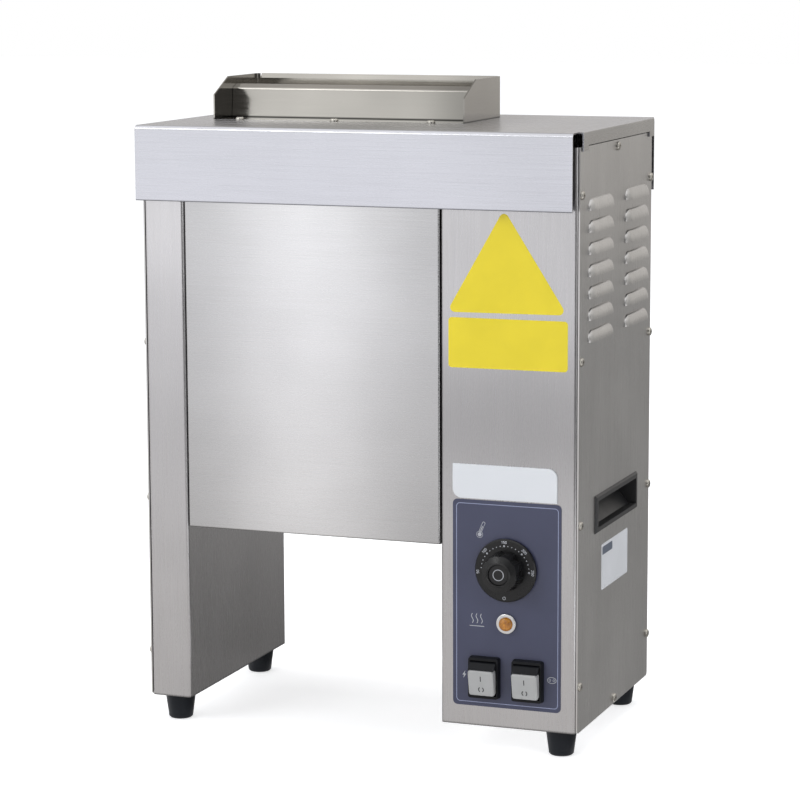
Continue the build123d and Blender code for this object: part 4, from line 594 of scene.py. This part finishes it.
first_mark, mark_pitch, mark_count, small_steps = -95.5, 46.5, 5, 5
dots_radius, large_dot, small_dot = 21.0, 0.8, 0.45
numbers_radius, number_height, number_step = 24.1, 2.1, 50
off_angle, off_radius, off_size = -178, 23.4, 1.2
for mark in range(mark_count):
    angle = first_mark + mark * mark_pitch
    if mark > 0:
        dial.disc(*on_dial(angle, dots_radius), large_dot)
    number_on_dial(str(number_step * (mark + 1)), angle, numbers_radius, number_height)
    if mark < mark_count - 1:
        for small in range(1, small_steps):
            small_angle = angle + small * mark_pitch / small_steps
            dial.disc(*on_dial(small_angle, dots_radius), small_dot, 12)
dial.circle(*on_dial(off_angle, off_radius), off_size, 0.36, 24)
dial.make("dial_marks", print_light, "thermostat_dial")

# Plain ring on the knob's cap
knob_face_y = overlay_y - knob_gap - knob_height + cap_sink
cap_ring = Relief((panel_x, knob_face_y, knob_z), (1, 0, 0), (0, -1, 0), MARK)
cap_ring.circle(0, 0, 4.5, 0.55)
cap_ring.make("knob_ring", print_light, "thermostat_dial")

# On and off marks on the raised caps of the rockers; the off mark is open above and below
tilt = math.radians(11.0)
switch_spacing, pivot_depth, cap_reach = 19.1, 1.5, 10.5
off_z, off_mark_radius = -6.6, 2.15
cap_out = Vector((0, -math.cos(tilt), -math.sin(tilt)))
for side, body in ((-1, "power_key"), (1, "motor_key")):
    pivot = Vector((panel_x + side * switch_spacing, casing_y - pivot_depth, switch_z))
    marks = Relief(pivot + cap_out * cap_reach, (1, 0, 0), cap_out, MARK)
    marks.stroke([(0, 0.8), (0, 5.4)], 0.8)
    for middle in (0, 180):
        path = []
        for part in range(-60, 61, 10):
            turn = math.radians(middle + part)
            rise = off_mark_radius * math.sin(turn)
            path.append((off_mark_radius * math.cos(turn), off_z + rise))
        marks.stroke(path, 0.85)
    marks.make(body.replace("key", "switch_marks"), print_dark, body)

# Blank yellow sticker in two parts on the column front
sticker = on_front(casing_y, STICKER)
sticker.fill(rounded([(276.6, 350.2), (381.0, 351.2), (326.2, 436.5)], 4.0, 10))
sticker.fill(rounded([(278.0, 304.0), (381.5, 304.4), (381.5, 346.2), (278.0, 346.0)], 3.0))
sticker.make("blank_sticker", sticker_yellow)

# Blank label on the side panel, with a plain band at its upper front corner
side_label = Relief((casing_right, casing_y, casing_z), (0, 1, 0), (1, 0, 0), LABEL)
side_label.fill(rounded(rectangle(68.0, 108.5, 146.3, 148.0), 1.5, 5))
side_label.make("side_label", label_white)
side_band = Relief((casing_right + LABEL, casing_y, casing_z), (0, 1, 0), (1, 0, 0), BAND)
side_band.fill(rounded(rectangle(70.5, 138.5, 100.0, 145.5), 0.8, 4))
side_band.make("side_label_band", label_band)

# Camera, from the fit of the photograph: rows are right, forward and up in the frame
camera_rows = (
    (0.9357561, 0.3526257, -0.0039514),
    (-0.3489208, 0.9241834, -0.1553680),
    (-0.0511349, 0.1467653, 0.9878488),
)
casing_corner = Vector((casing_x, casing_y, casing_z)) * MILLIMETRE
camera_place = casing_corner + Vector((1.0721049, -2.2175429, 0.6468758))
focal_pixels = 2867.6
photo_width = 800
right, forward, up = (Vector(row).normalized() for row in camera_rows)
camera_data = bpy.data.cameras.new("photo_camera")
camera_data.sensor_width = 36.0
camera_data.lens = focal_pixels / photo_width * camera_data.sensor_width
camera_data.clip_start = 0.05
camera_data.clip_end = 60.0
camera = bpy.data.objects.new("photo_camera", camera_data)
camera_turn = Matrix((right, up, -forward)).transposed()
camera.matrix_world = Matrix.Translation(camera_place) @ camera_turn.to_4x4()
scene.collection.objects.link(camera)
scene.camera = camera


# Floor, world and lamps
def seen_directly(tree):
    """1 for rays from the camera, reflections and glass, 0 for light that falls on surfaces."""
    path = tree.nodes.new("ShaderNodeLightPath")
    total = path.outputs["Is Camera Ray"]
    for name in ("Is Glossy Ray", "Is Transmission Ray"):
        node = tree.nodes.new("ShaderNodeMath")
        node.operation = "MAXIMUM"
        tree.links.new(total, node.inputs[0])
        tree.links.new(path.outputs[name], node.inputs[1])
        total = node.outputs[0]
    return total


world = bpy.data.worlds.new("studio_world")
scene.world = world
world.use_nodes = True
world_tree = world.node_tree
world_tree.nodes.clear()
world_out = world_tree.nodes.new("ShaderNodeOutputWorld")
soft_light = world_tree.nodes.new("ShaderNodeBackground")
soft_light.inputs["Color"].default_value = (0.92, 0.95, 1.0, 1)
soft_light.inputs["Strength"].default_value = 0.50
white = world_tree.nodes.new("ShaderNodeBackground")
white.inputs["Color"].default_value = (1, 1, 1, 1)
white.inputs["Strength"].default_value = 1.0
world_mix = world_tree.nodes.new("ShaderNodeMixShader")
world_tree.links.new(seen_directly(world_tree), world_mix.inputs[0])
world_tree.links.new(soft_light.outputs[0], world_mix.inputs[1])
world_tree.links.new(white.outputs[0], world_mix.inputs[2])
world_tree.links.new(world_mix.outputs[0], world_out.inputs["Surface"])

floor_mesh = bpy.data.meshes.new("studio_floor")
floor_half = 14.0
floor_corners = [(x, y, 0) for x, y in rectangle(-floor_half, -floor_half, floor_half, floor_half)]
floor_mesh.from_pydata(floor_corners, [], [(0, 1, 2, 3)])
floor = bpy.data.objects.new("studio_floor", floor_mesh)
floor.location.z = -0.0004
scene.collection.objects.link(floor)
floor_material, floor_tree, floor_shader = new_material("studio_floor")
floor_shader.inputs["Base Color"].default_value = (0.88, 0.88, 0.88, 1)
floor_shader.inputs["Roughness"].default_value = 0.9
floor_glow = floor_tree.nodes.new("ShaderNodeEmission")
floor_glow.inputs["Strength"].default_value = 0.62
floor_add = floor_tree.nodes.new("ShaderNodeAddShader")
floor_mix = floor_tree.nodes.new("ShaderNodeMixShader")
floor_out = next(n for n in floor_tree.nodes if n.type == "OUTPUT_MATERIAL")
floor_tree.links.new(floor_shader.outputs[0], floor_add.inputs[0])
floor_tree.links.new(floor_glow.outputs[0], floor_add.inputs[1])
floor_tree.links.new(seen_directly(floor_tree), floor_mix.inputs[0])
floor_tree.links.new(floor_shader.outputs[0], floor_mix.inputs[1])
floor_tree.links.new(floor_add.outputs[0], floor_mix.inputs[2])
floor_tree.links.new(floor_mix.outputs[0], floor_out.inputs["Surface"])
floor_mesh.materials.append(floor_material)


def lamp(name, place, size, power, tint=WHITE):
    """A square soft lamp that looks at the middle of the object."""
    data = bpy.data.lights.new(name, "AREA")
    data.size = size
    data.energy = power
    data.color = tint
    item = bpy.data.objects.new(name, data)
    item.location = place
    towards = Vector((0, 0, 0.3)) - Vector(place)
    item.rotation_euler = towards.to_track_quat("-Z", "Y").to_euler()
    item.visible_glossy = False
    scene.collection.objects.link(item)


lamp("lamp_left", (-1.6, -1.8, 1.5), 1.4, 22.0, (0.97, 0.98, 1.0))
lamp("lamp_top", (0.2, 0.2, 2.6), 1.6, 24.0)
lamp("lamp_right", (2.0, -1.0, 1.0), 1.0, 5.0)


def card(name, corners, near, far, axis, span, tint=WHITE, far_tint=None):
    """A card that only reflections see, graded from a near to a far level along one axis."""
    mesh = bpy.data.meshes.new(name)
    mesh.from_pydata(corners, [], [(0, 1, 2, 3)])
    item = bpy.data.objects.new(name, mesh)
    scene.collection.objects.link(item)
    material = bpy.data.materials.new(name)
    material.use_nodes = True
    tree = material.node_tree
    tree.nodes.clear()
    coords = tree.nodes.new("ShaderNodeTexCoord")
    split = tree.nodes.new("ShaderNodeSeparateXYZ")
    grade = tree.nodes.new("ShaderNodeMapRange")
    grade.inputs["From Min"].default_value = span[0]
    grade.inputs["From Max"].default_value = span[1]
    colours = tree.nodes.new("ShaderNodeMix")
    colours.data_type = "RGBA"
    colours.inputs[MIX_FIRST].default_value = grey(near, tint)
    colours.inputs[MIX_SECOND].default_value = grey(far, far_tint or tint)
    glow = tree.nodes.new("ShaderNodeEmission")
    out = tree.nodes.new("ShaderNodeOutputMaterial")
    tree.links.new(coords.outputs["Object"], split.inputs[0])
    tree.links.new(split.outputs[axis], grade.inputs["Value"])
    tree.links.new(grade.outputs["Result"], colours.inputs["Factor"])
    tree.links.new(colours.outputs[MIX_RESULT], glow.inputs["Color"])
    tree.links.new(glow.outputs[0], out.inputs["Surface"])
    mesh.materials.append(material)
    item.visible_camera = False
    item.visible_diffuse = False
    item.visible_shadow = False


def floor_card(name, left, right, front, back, *glow):
    """A card just above the floor; the rest is as for card."""
    height = 0.0006
    card(name, [(x, y, height) for x, y in rectangle(left, front, right, back)], *glow)


def wall_card(name, first, second, top, *glow):
    """A card that stands on the floor between two points; the rest is as for card."""
    card(name, [(*first, 0), (*second, 0), (*second, top), (*first, top)], *glow)


floor_card(
    "card_floor_front", -6.0, 0.45, -7.0, -0.108,
    0.78, 1.30, Y, (-0.5, -3.2), (1.0, 0.975, 0.96), (0.985, 0.985, 1.025),
)
floor_card("card_floor_dark", 0.45, 6.0, -7.0, -0.7, 0.12, 0.12, Y, (-7.0, -0.7))
floor_card(
    "card_floor_right", 0.197, 6.0, -0.16, 6.0, 0.33, 0.37, Y, (0.8, 2.8), (1.0, 0.99, 0.975)
)
floor_card(
    "card_floor_back", -4.0, 0.197, 0.14, 6.0, 0.21, 0.83, Y, (0.2, 3.0), (1.0, 0.985, 0.97)
)
floor_card(
    "card_floor_under", -0.156, 0.072, -0.108, 0.14,
    0.235, 0.235, Y, (-0.1, 0.1), (1.0, 0.985, 0.97),
)
wall_card(
    "card_front", (-8.0, -7.0), (0.9, -7.0), 6.0, 1.30, 0.95, Z, (0.2, 4.0), (0.985, 0.995, 1.0)
)
wall_card("card_front_dark", (0.9, -7.0), (6.0, -7.0), 6.0, 0.15, 0.15, Z, (0.0, 6.0))
wall_card("card_corner", (3.2, -1.9), (3.2, -0.7), 3.0, 1.7, 0.2, Z, (0.6, 1.0))
wall_card(
    "card_right", (3.0, -0.6), (3.0, 5.0), 4.0, 0.46, 0.95, Z, (0.3, 2.5), (1.0, 0.985, 0.96)
)
wall_card(
    "card_back", (-5.0, 3.4), (0.9, 3.4), 6.0, 0.60, 0.73, X, (-2.4, 0.4), (1.0, 0.97, 0.94)
)
wall_card(
    "card_back_right", (0.9, 3.4), (3.0, 3.4), 4.0,
    0.45, 0.76, Z, (0.15, 0.5), (1.0, 0.965, 0.92),
)
above = [(x, y, 4.0) for x, y in rectangle(-3.0, -2.6, 2.0, 0.6)]
card("card_above", above, 1.35, 1.35, X, (-3.0, 2.0))
softbox = [(-2.6, -2.4, 2.0), (-1.2, -3.2, 2.0), (-1.2, -3.2, 3.2), (-2.6, -2.4, 3.2)]
card("card_softbox", softbox, 4.5, 4.5, Z, (2.0, 3.2))

scene.view_settings.view_transform = "Standard"
